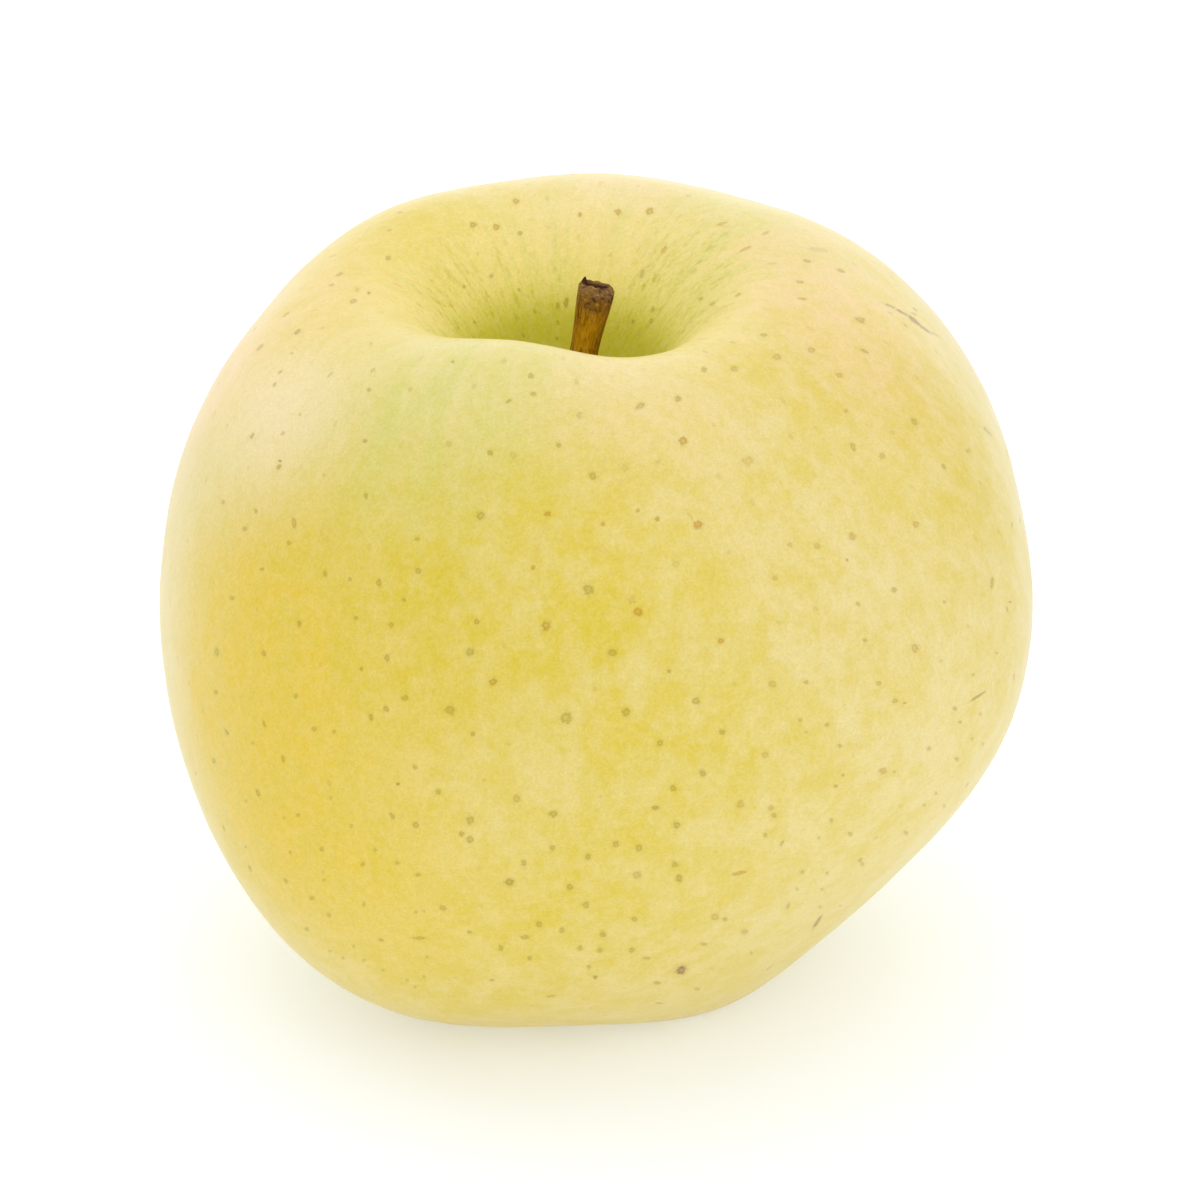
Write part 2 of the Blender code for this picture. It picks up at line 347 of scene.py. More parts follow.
# %% Centre line and thickness of the stalk
STALK_FOOT = np.array((-1.6, 0.0, 48.6))
STALK_TOP = np.array((1.45, 0.0, 65.2))
STALK_BOW = 0.35
STALK_RADII = (1.5, 1.45, 1.3, 1.22, 1.22, 1.25, 1.3, 1.48, 1.66)
PLACE = np.array((CORE_X, CORE_Y, -LEVEL))
stalk_radius_at = smooth_curve(np.linspace(0, 1, len(STALK_RADII)), STALK_RADII)


def stalk_centre(share):
    """The stalk's centre line in the part's frame, from its foot at 0 to its top at 1."""
    share = np.asarray(share, float)[..., None]
    bow = np.sin(math.pi * share) * STALK_BOW * np.array((0, 1, 0))
    return STALK_FOOT + (STALK_TOP - STALK_FOOT) * share + bow + PLACE


print("stalk from", stalk_centre(0).round(2), "to", stalk_centre(1).round(2))

# %% [markdown]
# ## The fine skin
# Rings of points lie half a millimetre apart, and closer round the stalk, where the skin
# turns down into the pit. Low unevenness goes into the points themselves, as real skin
# isn't quite smooth: broad dimples, a pucker of fine folds round the stalk, and five knobs
# round the calyx. Where the fruit stands, the skin is flat.

# %% Shape the skin
AROUND, RINGS, PIT_RINGS = 384, 236, 22
PIT_REACH = 3.6
PIT_WALL, PIT_RIM, PIT_DEPTH = 1.62, 2.5, 2.5
DIMPLE_DEPTH, DIMPLE_SIZE = 0.07, 7.0
SMALL_DIMPLE_SHARE, SMALL_DIMPLE_SIZE = 0.5, DIMPLE_SIZE / 2.6
PUCKER_DEPTH, PUCKER_FOLDS, PUCKER_MIDDLE, PUCKER_WIDTH = 0.1, 17, 2.9, 1.2
KNOB_HEIGHT, KNOBS, KNOB_TURN, KNOB_ALONG, KNOB_WIDTH = 0.35, 5, 0.5, 16.4, 0.8
NEAR_POLE, PIT_END = 3, 4

walk_places = np.linspace(0, LAST, 3601)
walk = np.hypot(np.diff(radius_at(walk_places)), np.diff(height_at(walk_places)))
walked = np.concatenate([[0], np.cumsum(walk)])
steps = np.concatenate([
    np.linspace(0, PIT_REACH, PIT_RINGS, endpoint=False),
    np.linspace(PIT_REACH, walked[-1], RINGS - PIT_RINGS),
])
ring_places = np.interp(steps, walked, walk_places)
ring_azimuths = np.linspace(0, 2 * math.pi, AROUND, endpoint=False)
along, azimuth = np.meshgrid(ring_places, ring_azimuths, indexing="ij")
skin = skin_points(along, azimuth) - (0, 0, LEVEL)

downward = np.stack([np.gradient(skin[..., i], axis=0) for i in range(3)], axis=-1)
sideways = np.roll(skin, -1, axis=1) - np.roll(skin, 1, axis=1)
outward = np.cross(downward, sideways)
outward /= np.maximum(np.linalg.norm(outward, axis=-1, keepdims=True), 1e-9)

dimples = noise_at(skin.reshape(-1, 3), DIMPLE_SIZE, 3.1)
dimples += SMALL_DIMPLE_SHARE * noise_at(skin.reshape(-1, 3), SMALL_DIMPLE_SIZE, 5.7)
dimples = dimples.reshape(along.shape)
away_from_poles = ease(along / NEAR_POLE) * ease((LAST - along) / NEAR_POLE)
skin += outward * (dimples * DIMPLE_DEPTH * away_from_poles)[..., None]

knob_wave = np.cos(KNOBS * (azimuth - KNOB_TURN))
knob_wave *= np.exp(-((along - KNOB_ALONG) / KNOB_WIDTH) ** 2)
skin += outward * (knob_wave * KNOB_HEIGHT)[..., None]

foot_height, top_height = stalk_centre(0)[2], stalk_centre(1)[2]
stalk_share = np.clip((skin[..., 2] - foot_height) / (top_height - foot_height), 0, 1)
from_stalk = np.linalg.norm((skin - stalk_centre(stalk_share))[..., :2], axis=-1)
near_pit = along < PIT_END
sink = np.where(near_pit, ease((PIT_RIM - from_stalk) / (PIT_RIM - PIT_WALL)), 0)
folds = np.cos(azimuth * PUCKER_FOLDS + 2 * np.sin(azimuth * 3))
folds *= np.exp(-((from_stalk - PUCKER_MIDDLE) / PUCKER_WIDTH) ** 2)
skin[..., 2] += np.where(near_pit, folds * PUCKER_DEPTH * ease(along / 0.8), 0) - sink * PIT_DEPTH
skin[..., 2] = np.maximum(skin[..., 2], 0)

skin_mesh = ring_mesh("skin", skin)
print("skin faces:", len(skin_mesh.polygons), "pit rings reach, mm:", PIT_REACH)

# %% [markdown]
# ## Reading places off the photograph
# A ray from the camera through a pixel meets the skin at the place that the pixel shows.
# With that, a mark needs only its pixel and its size as seen.

# %% A ray from the camera to the skin
flat_skin = per_point(skin)
skin_faces = [list(face.vertices) for face in skin_mesh.polygons]
skin_tree = BVHTree.FromPolygons(flat_skin.tolist(), skin_faces)


def seen_at(x, y):
    """Where the skin shows at a pixel, and which way it faces there."""
    place, normal, _, _ = skin_tree.ray_cast(EYE, ray_through(x, y))
    return place, normal


def on_skin(degrees, place_along):
    """A place on the skin by its azimuth and its place along the outline."""
    spot = skin_points(np.array(float(place_along)), np.array(math.radians(degrees)))
    return Vector(spot - (0, 0, LEVEL))


print("the pixel (600, 600) shows, mm:", [round(v, 1) for v in seen_at(600, 600)[0]])

# %% [markdown]
# ## Where the colour changes
# A yellow apple isn't one yellow. The cavity stays green, the side that had most sun turns
# gold or blushes pink, and pale clouds lie between. Some of the pale and cream is painted
# light instead: a painted reflection of the white surroundings on the rims and flanks, and a
# painted highlight on the shoulders. Each such area is a soft round patch on the skin.
# Painting a picture onto the skin would also work, but a patch is easy to read, to move and
# to repeat on the sides that the photograph doesn't show.

# %% Soft patches of colour
# Each patch is its pixel in the photograph, its size in millimetres and its strength.
SEEN_PATCHES = {
    "gold": (
        (235, 700, 14, 0.9), (275, 810, 12, 0.5), (400, 240, 8, 0.45), (340, 330, 7, 0.3),
        (330, 525, 8, 0.3), (235, 590, 9, 0.3), (360, 900, 12, 0.45), (300, 650, 9, 0.2),
        (224, 372, 5, 1.0), (290, 300, 8, 0.35),
    ),
    "green": (
        (440, 405, 10, 0.3), (500, 368, 9, 0.22), (820, 250, 5, 0.15), (380, 440, 10, 0.2),
        (735, 210, 6, 0.35), (690, 300, 6, 0.45), (205, 470, 6, 0.25),
    ),
    # Pale patches: partly paler skin, partly a painted reflection of the white surroundings on the
    # rims.
    "pale_and_reflection": (
        (860, 560, 14, 0.5), (960, 640, 13, 0.6), (780, 560, 9, 0.25), (900, 780, 12, 0.35),
        (820, 880, 12, 0.35), (700, 960, 10, 0.3), (268, 422, 8, 0.95), (600, 215, 8, 0.8),
        (700, 410, 8, 0.6), (430, 385, 9, 0.9), (560, 270, 8, 0.6), (300, 340, 9, 0.3),
        (500, 785, 8, 0.4), (172, 620, 7, 0.6), (176, 530, 8, 0.6), (186, 700, 7, 0.5),
        (770, 255, 9, 0.8),
    ),
    "deep": (
        (600, 600, 11, 1.0), (715, 640, 6, 0.9), (700, 750, 7, 0.8), (540, 700, 12, 0.6),
        (640, 700, 9, 0.6), (470, 600, 10, 0.5), (605, 490, 10, 0.95), (430, 620, 9, 0.3),
    ),
    # Cream patches: partly creamy skin, partly a painted highlight of the soft lights on the
    # shoulders and lip.
    "cream_and_highlight": (
        (268, 425, 8, 0.5), (310, 395, 7, 0.35), (620, 385, 8, 0.2), (690, 395, 8, 0.12),
        (450, 378, 6, 0.4), (560, 365, 6, 0.3), (750, 200, 7, 0.3), (600, 205, 8, 0.3),
    ),
    "streaky": (
        (660, 310, 4, 1.0), (690, 270, 4.5, 0.9), (715, 225, 5, 0.8), (640, 340, 4, 1.0),
        (540, 330, 5, 0.55), (480, 300, 6, 0.5), (430, 300, 6, 0.35), (700, 310, 5, 0.8),
        (440, 330, 5, 0.45),
    ),
    "blush": (
        (800, 290, 10, 0.9), (770, 245, 8, 0.7), (640, 190, 6, 0.5), (222, 376, 7, 1.0),
        (590, 395, 8, 0.5), (330, 290, 8, 0.4), (205, 450, 7, 0.5), (880, 380, 8, 0.4),
    ),
}
# On the hidden sides: its azimuth in degrees, its place along the outline, size and strength.
HIDDEN_PATCHES = {
    "gold": ((150, 10, 16, 0.7), (60, 12, 12, 0.4)),
    "green": ((100, 8, 9, 0.5), (20, 13, 9, 0.3), (180, 13.5, 10, 0.4)),
    "pale_and_reflection": ((20, 8, 12, 0.7), (125, 13, 13, 0.7), (170, 7, 9, 0.7), (75, 11, 10, 0.5)),
    "deep": ((110, 11, 13, 0.6), (40, 10, 10, 0.5), (190, 9, 9, 0.4)),
    "cream_and_highlight": ((70, 7, 9, 0.5), (140, 7.5, 8, 0.4)),
    "streaky": ((250, 4, 7, 0.7), (310, 4, 7, 0.7)),
    "blush": ((85, 8, 12, 0.7), (60, 9.5, 9, 0.4), (135, 7.5, 9, 0.5)),
}
for kind, seen in SEEN_PATCHES.items():
    patches = [(seen_at(x, y)[0], size, strength) for x, y, size, strength in seen]
    patches += [
        (on_skin(degrees, place_along), size, strength)
        for degrees, place_along, size, strength in HIDDEN_PATCHES[kind]
    ]
    total = np.zeros(len(flat_skin))
    for place, size, strength in patches:
        away = np.linalg.norm(flat_skin - np.array(place), axis=1)
        total += strength * np.exp(-(away / size) ** 2)
    give(skin_mesh, kind, np.clip(total, 0, 1))
print("patches of the seen side:", {kind: len(seen) for kind, seen in SEEN_PATCHES.items()})

# %% Rings of colour round the stalk and the calyx
# Each fades out from a place along the outline, over a length of it.
FADES = {"hollow": (2.3, 1.8), "pit": (2.7, 0.8), "crown": (2.5, 4.5), "bowl": (3.7, 1.4)}
BASIN_FROM, BASIN_WIDTH = 14.5, 2.5
GRAIN_RADIUS = 38.0
flat_along = per_point(along)
flat_azimuth = per_point(azimuth)
for kind, (full, fade) in FADES.items():
    give(skin_mesh, kind, 1 - ease((flat_along - full) / fade))
give(skin_mesh, "basin", ease((flat_along - BASIN_FROM) / BASIN_WIDTH))
grain = np.stack([
    np.cos(flat_azimuth) * GRAIN_RADIUS,
    np.sin(flat_azimuth) * GRAIN_RADIUS,
    np.interp(flat_along, walk_places, walked),
], axis=-1)
give(skin_mesh, "grain", grain, "FLOAT_VECTOR")
print("rings of colour:", [*FADES, "basin"])

# %% [markdown]
# ## The pores
# Apple skin breathes through lenticels: small corky pores, each a ring with a paler middle,
# wide apart on the belly and crowded near the stalk and the calyx. Those that can be read
# off the photograph stand where they are seen there, and a rule scatters the others.
# Thousands of dots could be drawn with a cell texture, but then none would be where it is
# seen. Instead each corner of a face near a pore stores how far it lies from the pore's
# middle, counted in the pore's own radii, and the nodes draw a soft, uneven ring from that.

# %% Marks read off the photograph
OLIVE, OCHRE, ORANGE, BROWN, SCAR, DARK = 0.0, 0.3, 0.5, 0.7, 0.85, 1.0
Mark = namedtuple("Mark", "x y long wide tilt tone strength")


def dots(tone, strength, *places):
    """Round marks of one tone and strength, each given as its pixel and its size."""
    return [Mark(x, y, size, size, 0, tone, strength) for x, y, size in places]


def strokes(tone, strength, *places):
    """Long marks: pixel, length and width as seen, and the tilt in degrees, down to the right."""
    return [Mark(*place, tone, strength) for place in places]


BELLY_MARKS = [
    *dots(OLIVE, 0.8, (481, 516, 8), (593, 476, 7), (588, 590, 10), (470, 652, 8), (450, 710, 9),
        (566, 718, 11), (626, 712, 8), (696, 701, 7), (722, 732, 6), (660, 743, 6), (473, 734, 5),
        (477, 622, 5), (669, 671, 4), (638, 511, 4), (603, 524, 4), (612, 653, 8), (703, 773, 7)),
    *dots(OLIVE, 0.35, (676, 564, 7), (632, 600, 8), (625, 468, 7), (658, 462, 5), (513, 455, 7)),
    *dots(ORANGE, 1.0, (547, 515, 7), (698, 524, 9), (638, 612, 8), (721, 641, 6)),
    *dots(OCHRE, 1.0, (546, 626, 9), (493, 682, 7), (533, 568, 4), (657, 519, 4), (683, 441, 8)),
    *dots(OCHRE, 0.6, (773, 684, 8), (765, 755, 7), (790, 545, 5), (817, 546, 6), (775, 578, 5)),
    *strokes(ORANGE, 0.13, (541, 532, 30, 7, 115), (535, 553, 26, 7, 98)),
    *strokes(ORANGE, 0.2, (601, 549, 14, 7, 10)),
    *strokes(ORANGE, 0.3, (690, 516, 14, 3, 60)),
]
LEFT_MARKS = [
    *dots(OLIVE, 0.75, (223, 502, 4), (245, 529, 4), (289, 543, 4), (262, 569, 4), (350, 579, 4),
        (417, 539, 4), (418, 571, 6), (404, 600, 4), (232, 598, 4), (356, 618, 4), (391, 625, 5),
        (361, 669, 4), (216, 692, 4), (296, 696, 4), (405, 698, 6), (386, 709, 6), (314, 729, 5),
        (334, 732, 4), (438, 792, 5), (415, 767, 5), (416, 825, 6), (298, 815, 4), (322, 849, 4),
        (290, 852, 3), (363, 864, 4), (397, 863, 4), (312, 898, 4), (329, 915, 4), (307, 929, 4)),
    *strokes(OCHRE, 0.8, (294, 523, 11, 4, 80)),
    *strokes(OLIVE, 0.8, (325, 574, 6, 4, 90), (379, 583, 7, 5, 90), (299, 624, 7, 4, 80),
        (217, 652, 8, 4, 85), (264, 654, 6, 4, 80), (387, 658, 7, 5, 85), (264, 724, 6, 3, 75),
        (227, 732, 7, 3, 65), (371, 717, 7, 4, 80), (283, 759, 6, 3, 80), (392, 816, 8, 4, 60),
        (250, 868, 6, 3, 60), (286, 881, 6, 3, 60), (214, 761, 5, 3, 80), (256, 511, 6, 3, 80),
        (366, 496, 6, 3, 80), (224, 828, 6, 2, 75)),
    *strokes(OLIVE, 0.9, (258, 793, 8, 3, 70)),
    *dots(DARK, 0.7, (398, 784, 3)),
    *strokes(ORANGE, 0.16, (326, 533, 22, 11, 85)),
    *dots(OLIVE, 0.55, (253, 743, 3), (196, 773, 3), (331, 798, 3), (246, 801, 3), (284, 818, 3),
        (351, 826, 3), (246, 847, 3), (323, 872, 3), (324, 880, 3)),
    *strokes(OLIVE, 0.4, (329, 783, 6, 4, 70)),
]
LEFT_SHOULDER_MARKS = [
    *strokes(OCHRE, 0.9, (339.5, 274.5, 7, 3, -20), (353, 301.5, 7, 4, -10),
        (260, 347.5, 8, 3, -45)),
    *strokes(OLIVE, 0.8, (331.5, 285, 5, 2.5, -15), (254.5, 329.5, 5, 2, -50)),
    *strokes(OCHRE, 0.8, (286, 314.5, 7, 2.5, -35), (280.5, 372, 5, 2.5, -40),
        (274.5, 384.5, 5, 2.5, -60)),
    *strokes(OLIVE, 1.0, (297.5, 332, 7, 4, -30)),
    *strokes(OCHRE, 0.5, (323, 328, 4, 2, -30)),
    *strokes(OLIVE, 0.5, (330, 375, 7, 2, -40)),
    *strokes(OLIVE, 0.6, (372.5, 370.5, 5, 2.5, -40), (428, 330.5, 5, 2.5, 20),
        (283, 433.5, 5, 3, -50)),
    *strokes(OLIVE, 0.9, (252.5, 436, 7, 3, -60)),
    *strokes(OCHRE, 1.0, (279, 466.5, 6, 4, -60)),
    *strokes(OCHRE, 0.6, (389.5, 230.5, 5, 2, -15)),
    *strokes(OLIVE, 0.7, (399.5, 212.5, 5, 2, -10)),
    *dots(OLIVE, 0.5, (357, 290, 4), (371, 344, 3), (410, 389.5, 4), (300, 414.5, 3),
        (292, 353.5, 3), (324, 475, 3)),
    *dots(DARK, 0.7, (369, 293, 3), (280, 461, 3)),
]
SHOULDER_MARKS = [
    *strokes(OCHRE, 0.8, (722, 224, 9, 2.5, -20), (766, 233, 7, 2.5, -20),
        (745, 249, 12, 2.5, -25), (853, 447, 9, 5, 60), (914, 314, 6, 3, 30)),
    *strokes(OLIVE, 0.8, (807, 261, 8, 3, 10), (841, 271, 8, 3, 20), (800, 282, 9, 2.5, 5),
        (738, 295, 6, 2.5, -30), (712, 304, 6, 2.5, -35), (802, 299, 8, 2.5, 5),
        (764, 335, 7, 3, 0), (864, 351, 8, 3, 30), (914, 422, 9, 5, 50), (987, 431, 11, 5, 50),
        (944, 467, 6, 3, 60)),
    *strokes(OCHRE, 0.9, (860, 320, 10, 5, 20)),
    *strokes(OCHRE, 0.7, (777, 357, 9, 6, 0), (811, 350, 8, 5, 20), (734, 369, 7, 5, 0),
        (839, 375, 7, 5, 20), (905.5, 325.5, 6, 2.5, 40)),
    *strokes(OCHRE, 0.5, (748, 461, 12, 9, 0), (890, 313, 5, 2, 20)),
    *strokes(OLIVE, 0.35, (818, 250, 20, 4, 8)),
    *strokes(SCAR, 0.7, (891, 306.5, 14, 2.6, 25)),
    *strokes(SCAR, 0.9, (902, 312.5, 15, 3, 30), (924, 328.5, 14, 3.6, 38)),
    *strokes(SCAR, 1.0, (914, 320.5, 17, 5, 40)),
    *strokes(SCAR, 0.5, (933, 333.5, 14, 2.4, 30)),
    *strokes(OLIVE, 0.7, (915, 309.5, 6, 3, 35)),
    *dots(OCHRE, 0.7, (882, 456, 6), (968, 451, 4), (846, 411, 4)),
]
RIGHT_MARKS = [
    *dots(OLIVE, 0.7, (894, 590, 5), (858, 604, 4), (944, 602, 3), (865, 640, 4), (806, 682, 4),
        (879, 683, 4), (895, 701, 5), (955, 709, 4), (960, 722, 3), (800, 720, 4), (827, 725, 4),
        (957, 759, 4), (840, 746, 4), (929, 749, 4), (843, 775, 3), (850, 834, 4), (831, 820, 4),
        (771, 808, 5), (774, 815, 5), (765, 835, 4), (802, 872, 4), (862, 864, 4), (906, 833, 4)),
    *dots(OCHRE, 0.75, (852, 537, 7), (916, 524, 6), (915, 648, 8), (883, 771, 7)),
    *strokes(OCHRE, 0.8, (992, 583, 11, 3, 95), (967, 785, 5, 2, -60), (769, 968, 9, 2, -40)),
    *strokes(OLIVE, 0.8, (1012, 525, 5, 2, 85), (1020, 520, 6, 2, 85), (1007, 609, 5, 2, 80),
        (782, 843, 6, 3, -60), (788, 906, 6, 3, -60), (860, 860, 5, 3, -50), (905, 703, 4, 2, 0),
        (836, 786, 4, 3, -30)),
    *strokes(BROWN, 0.8, (977, 697, 17, 2, -35)),
    *strokes(BROWN, 1.0, (817, 922, 13, 4, -55)),
    *strokes(ORANGE, 0.8, (1014, 677, 6, 2, 95)),
    *dots(DARK, 0.6, (847, 560, 2.5), (1010, 602, 2)),
    *dots(OCHRE, 0.6, (997, 653, 3), (973, 675, 3), (980, 714, 3), (806, 732, 3), (972, 739, 3)),
    *dots(OLIVE, 0.6, (983, 744, 3), (894, 772, 3), (936, 793, 3), (924, 805, 3), (944, 806, 3),
        (819, 838, 3), (827, 873, 3), (797, 889, 3), (822, 889, 3), (820, 907, 3), (840, 906, 3)),
]
LOW_MARKS = [
    *dots(OLIVE, 0.8, (470, 820, 8), (470, 839, 7), (462, 834, 5), (552, 848, 5), (524, 863, 6),
        (588, 857, 6), (570, 887, 6), (616, 844, 6), (639, 848, 7), (677, 825, 7), (673, 788, 6),
        (675, 865, 6), (679, 878, 7), (539, 924, 6), (562, 930, 5), (586, 905, 6), (603, 934, 6),
        (634, 919, 5), (580, 948, 5), (600, 950, 5), (632, 950, 5), (501, 948, 5), (530, 958, 4),
        (589, 967, 4), (725, 919, 4)),
    *dots(OCHRE, 0.7, (517, 799, 8), (637, 875, 8), (715, 917, 7), (740, 804, 7)),
    *strokes(OLIVE, 0.8, (553, 814, 8, 6, 0), (443, 908, 7, 5, 20), (469, 932, 5, 3, 0),
        (525, 937, 8, 4, 0), (646, 958, 6, 3, 0), (704, 944, 7, 3, 0), (657, 983, 6, 3, 0),
        (697, 989, 5, 3, 0), (551, 996, 8, 2, -10), (492, 980, 5, 2, 0), (419, 938, 12, 2.5, 0),
        (418, 875, 6, 4, 0), (381, 940, 5, 3, 10), (659, 1003, 6, 2, 0)),
    *strokes(OLIVE, 1.0, (509, 882, 9, 7, 0), (655, 808, 7, 4, 0)),
    *strokes(ORANGE, 0.9, (739, 873, 14, 3.5, -15)),
    *strokes(OCHRE, 0.8, (744, 932, 6, 5, -20)),
    *strokes(BROWN, 0.9, (595, 977, 4, 3, 0)),
    *strokes(DARK, 1.0, (681, 970, 10, 7, -25)),
    *dots(OLIVE, 0.6, (375, 850, 4), (364, 904, 4), (424, 911, 3), (416, 912, 3), (354, 946, 3),
        (330, 951, 3), (343, 958, 3), (364, 960, 3), (383, 970, 3), (427, 957, 3), (424, 977, 3),
        (407, 980, 3), (415, 987, 3), (751, 953, 3), (680, 1019, 3)),
]
CROWN_MARKS = [
    *dots(OCHRE, 0.9, (516, 201, 6), (580, 215, 4), (618, 212, 6), (650, 211, 7), (496, 227, 6)),
    *dots(OLIVE, 0.85, (473, 225, 6), (520, 233, 4), (388, 258, 5), (464, 287, 3), (531, 376, 5),
        (704, 370, 5), (678, 399, 6), (369, 390, 4), (490, 453, 5), (558, 445, 5), (365, 441, 4)),
    *dots(OLIVE, 0.4, (449, 444, 6)),
    *dots(BROWN, 0.6, (491, 276, 4), (453, 362, 3.5)),
    *strokes(OLIVE, 1.0, (566, 303, 9, 4, 100)),
    *strokes(OLIVE, 0.8, (558, 306, 6, 3.5, 100), (701, 299, 5, 3, -30), (533, 394, 6, 4, -10),
        (509, 401, 6, 3.5, -30), (640, 406, 10, 5, -30), (653, 310, 5, 3, -60),
        (651, 321, 5, 3, -60), (475, 323, 4, 2, 50), (523, 335, 5, 2.5, 60), (558, 323, 5, 3, 80),
        (519, 290, 4, 2, 60), (535, 312, 4, 2, 60), (557, 339, 4, 3, 80)),
    *strokes(OCHRE, 0.8, (664, 250, 10, 4, -60)),
    *strokes(BROWN, 0.5, (642, 274, 8, 4, -70)),
    *strokes(DARK, 0.5, (633, 322, 5, 3, -70)),
]
READ_MARKS = (
    BELLY_MARKS + LEFT_MARKS + LEFT_SHOULDER_MARKS + SHOULDER_MARKS
    + RIGHT_MARKS + LOW_MARKS + CROWN_MARKS
)
print("marks read off the photograph:", len(READ_MARKS))

# %% Bring the read marks onto the skin
PIXEL = DISTANCE / (LENS / SENSOR * PHOTO_SIZE)
MOST_STRETCH = 2.6
REACH_RADII, REACH_MORE = 2.6, 0.6
Pore = namedtuple("Pore", "centre length_way width_way reach tone strength")


def pore_from(centre, normal, length_way, width_way, tone, strength):
    """A pore from its middle and its two half axes on the skin."""
    across = width_way.cross(normal)
    along_way = normal.cross(length_way)
    reach = REACH_RADII * max(length_way.length, width_way.length) + REACH_MORE
    return Pore(
        np.array(centre), np.array(across / length_way.dot(across)),
        np.array(along_way / width_way.dot(along_way)), reach, tone, strength,
    )


def half_axis(mark, centre, degrees, half):
    """From a mark's middle to the end of one of its half axes, along the skin."""
    turn = math.radians(degrees)
    end, _ = seen_at(mark.x + math.cos(turn) * half, mark.y + math.sin(turn) * half)
    longest = half * PIXEL * MOST_STRETCH
    if end is None:
        return None
    way = end - centre
    return way * min(1, longest / way.length)


pores = []
for mark in READ_MARKS:
    centre, normal = seen_at(mark.x, mark.y)
    length_way = half_axis(mark, centre, mark.tilt, mark.long / 2)
    width_way = half_axis(mark, centre, mark.tilt + 90, mark.wide / 2)
    if length_way and width_way:
        ways = length_way, width_way
        pores.append(pore_from(centre, normal, *ways, mark.tone, mark.strength))
print("marks on the skin:", len(pores))

# %% Scatter the other pores
# Near the stalk and the calyx they are smaller and closer together. On the side that the
# photograph shows, the scattered ones are only the faint ones between the read marks.
SEED, TRIES = 27, 5200
rng = np.random.default_rng(SEED)
NEAREST_BELLY, NEAREST_POLE = 3.0, 1.5
SMALLEST, LARGEST = 0.17, 0.3
SEEN_SIZE, HIDDEN_SIZE = 0.75, 1.15
SEEN_STRENGTH, HIDDEN_STRENGTH = (0.12, 0.4), (0.35, 0.85)
TONES, TONE_SHARES = (OLIVE, OCHRE, ORANGE, BROWN), (0.66, 0.22, 0.08, 0.04)
ABOVE_FLATS, OUTSIDE_PIT, JITTER, LEAST_FACING = 0.05, 1.2, 0.15, 0.12
# Near both poles pores are crowded, and near the stalk they are drawn out: places along the
# outline, and how long each change takes.
STALK_CROWD, STALK_FADE, CALYX_CROWD, CALYX_FADE = 5.5, 3.5, 10.5, 4
DRAWN_OUT, DRAWN_FADE, DRAWN_LENGTHS, POLE_SHRINK = 8, 3, (0.4, 1.6), 0.35
faces = len(skin_faces)


def face_values(name, width):
    """One of the values that Blender works out for each face."""
    store = np.zeros(faces * width)
    skin_mesh.polygons.foreach_get(name, store)
    return store.reshape(-1, width)


face_centres = face_values("center", 3) / MM
face_normals = face_values("normal", 3)
face_areas = face_values("area", 1)[:, 0]
first_corners = np.array([face[0] for face in skin_faces])
face_along = flat_along[first_corners]
face_azimuth = flat_azimuth[first_corners]

chance = face_areas * (face_centres[:, 2] > ABOVE_FLATS) * (face_along > OUTSIDE_PIT)
picked = rng.choice(faces, TRIES, p=chance / chance.sum())
taken = [pore.centre for pore in pores]
for face in picked:
    centre = face_centres[face] + rng.normal(0, JITTER, 3)
    stalk_end = ease((STALK_CROWD - face_along[face]) / STALK_FADE)
    pole = max(stalk_end, ease((face_along[face] - CALYX_CROWD) / CALYX_FADE))
    nearest = NEAREST_BELLY + (NEAREST_POLE - NEAREST_BELLY) * pole
    if min(np.linalg.norm(np.array(taken) - centre, axis=1)) < nearest:
        continue
    taken.append(centre)
    normal = Vector(face_normals[face])
    facing = normal.dot(BACK) > LEAST_FACING
    size = rng.uniform(SMALLEST, LARGEST) * (1 - POLE_SHRINK * pole)
    size *= SEEN_SIZE if facing else HIDDEN_SIZE
    shoulder = ease((DRAWN_OUT - face_along[face]) / DRAWN_FADE)
    longer = 1 + shoulder * rng.uniform(*DRAWN_LENGTHS)
    around = Vector((-math.sin(face_azimuth[face]), math.cos(face_azimuth[face]), 0))
    down = around.cross(normal).normalized()
    around = normal.cross(down).normalized()
    tone = float(rng.choice(TONES, p=TONE_SHARES))
    strength = rng.uniform(*(SEEN_STRENGTH if facing else HIDDEN_STRENGTH))
    ways = down * size * longer, around * size
    pores.append(pore_from(Vector(centre), normal, *ways, tone, strength))
print("all pores:", len(pores))

# %% Store the nearest pore on each face
centre_tree = kdtree.KDTree(faces)
for index, centre in enumerate(face_centres):
    centre_tree.insert(centre, index)
centre_tree.balance()

NO_PORE, FAR_OFF = -1, 9.0
owner = np.full(faces, NO_PORE)
least_far = np.full(faces, np.inf)
for index, pore in enumerate(pores):
    near = [hit[1] for hit in centre_tree.find_range(Vector(pore.centre), pore.reach)]
    offsets = face_centres[near] - pore.centre
    far = np.hypot(offsets @ pore.length_way, offsets @ pore.width_way)
    for face, value in zip(near, far):
        if value < least_far[face]:
            least_far[face] = value
            owner[face] = index

# Each corner of a face carries its own offset from the middle of the face's pore.
corner_point = np.concatenate(skin_faces)
corner_owner = np.repeat(owner, [len(face) for face in skin_faces])
owned = corner_owner != NO_PORE


def of_pores(field):
    """One field of the pores, for each corner that has a pore."""
    return np.array([getattr(pore, field) for pore in pores])[corner_owner[owned]]


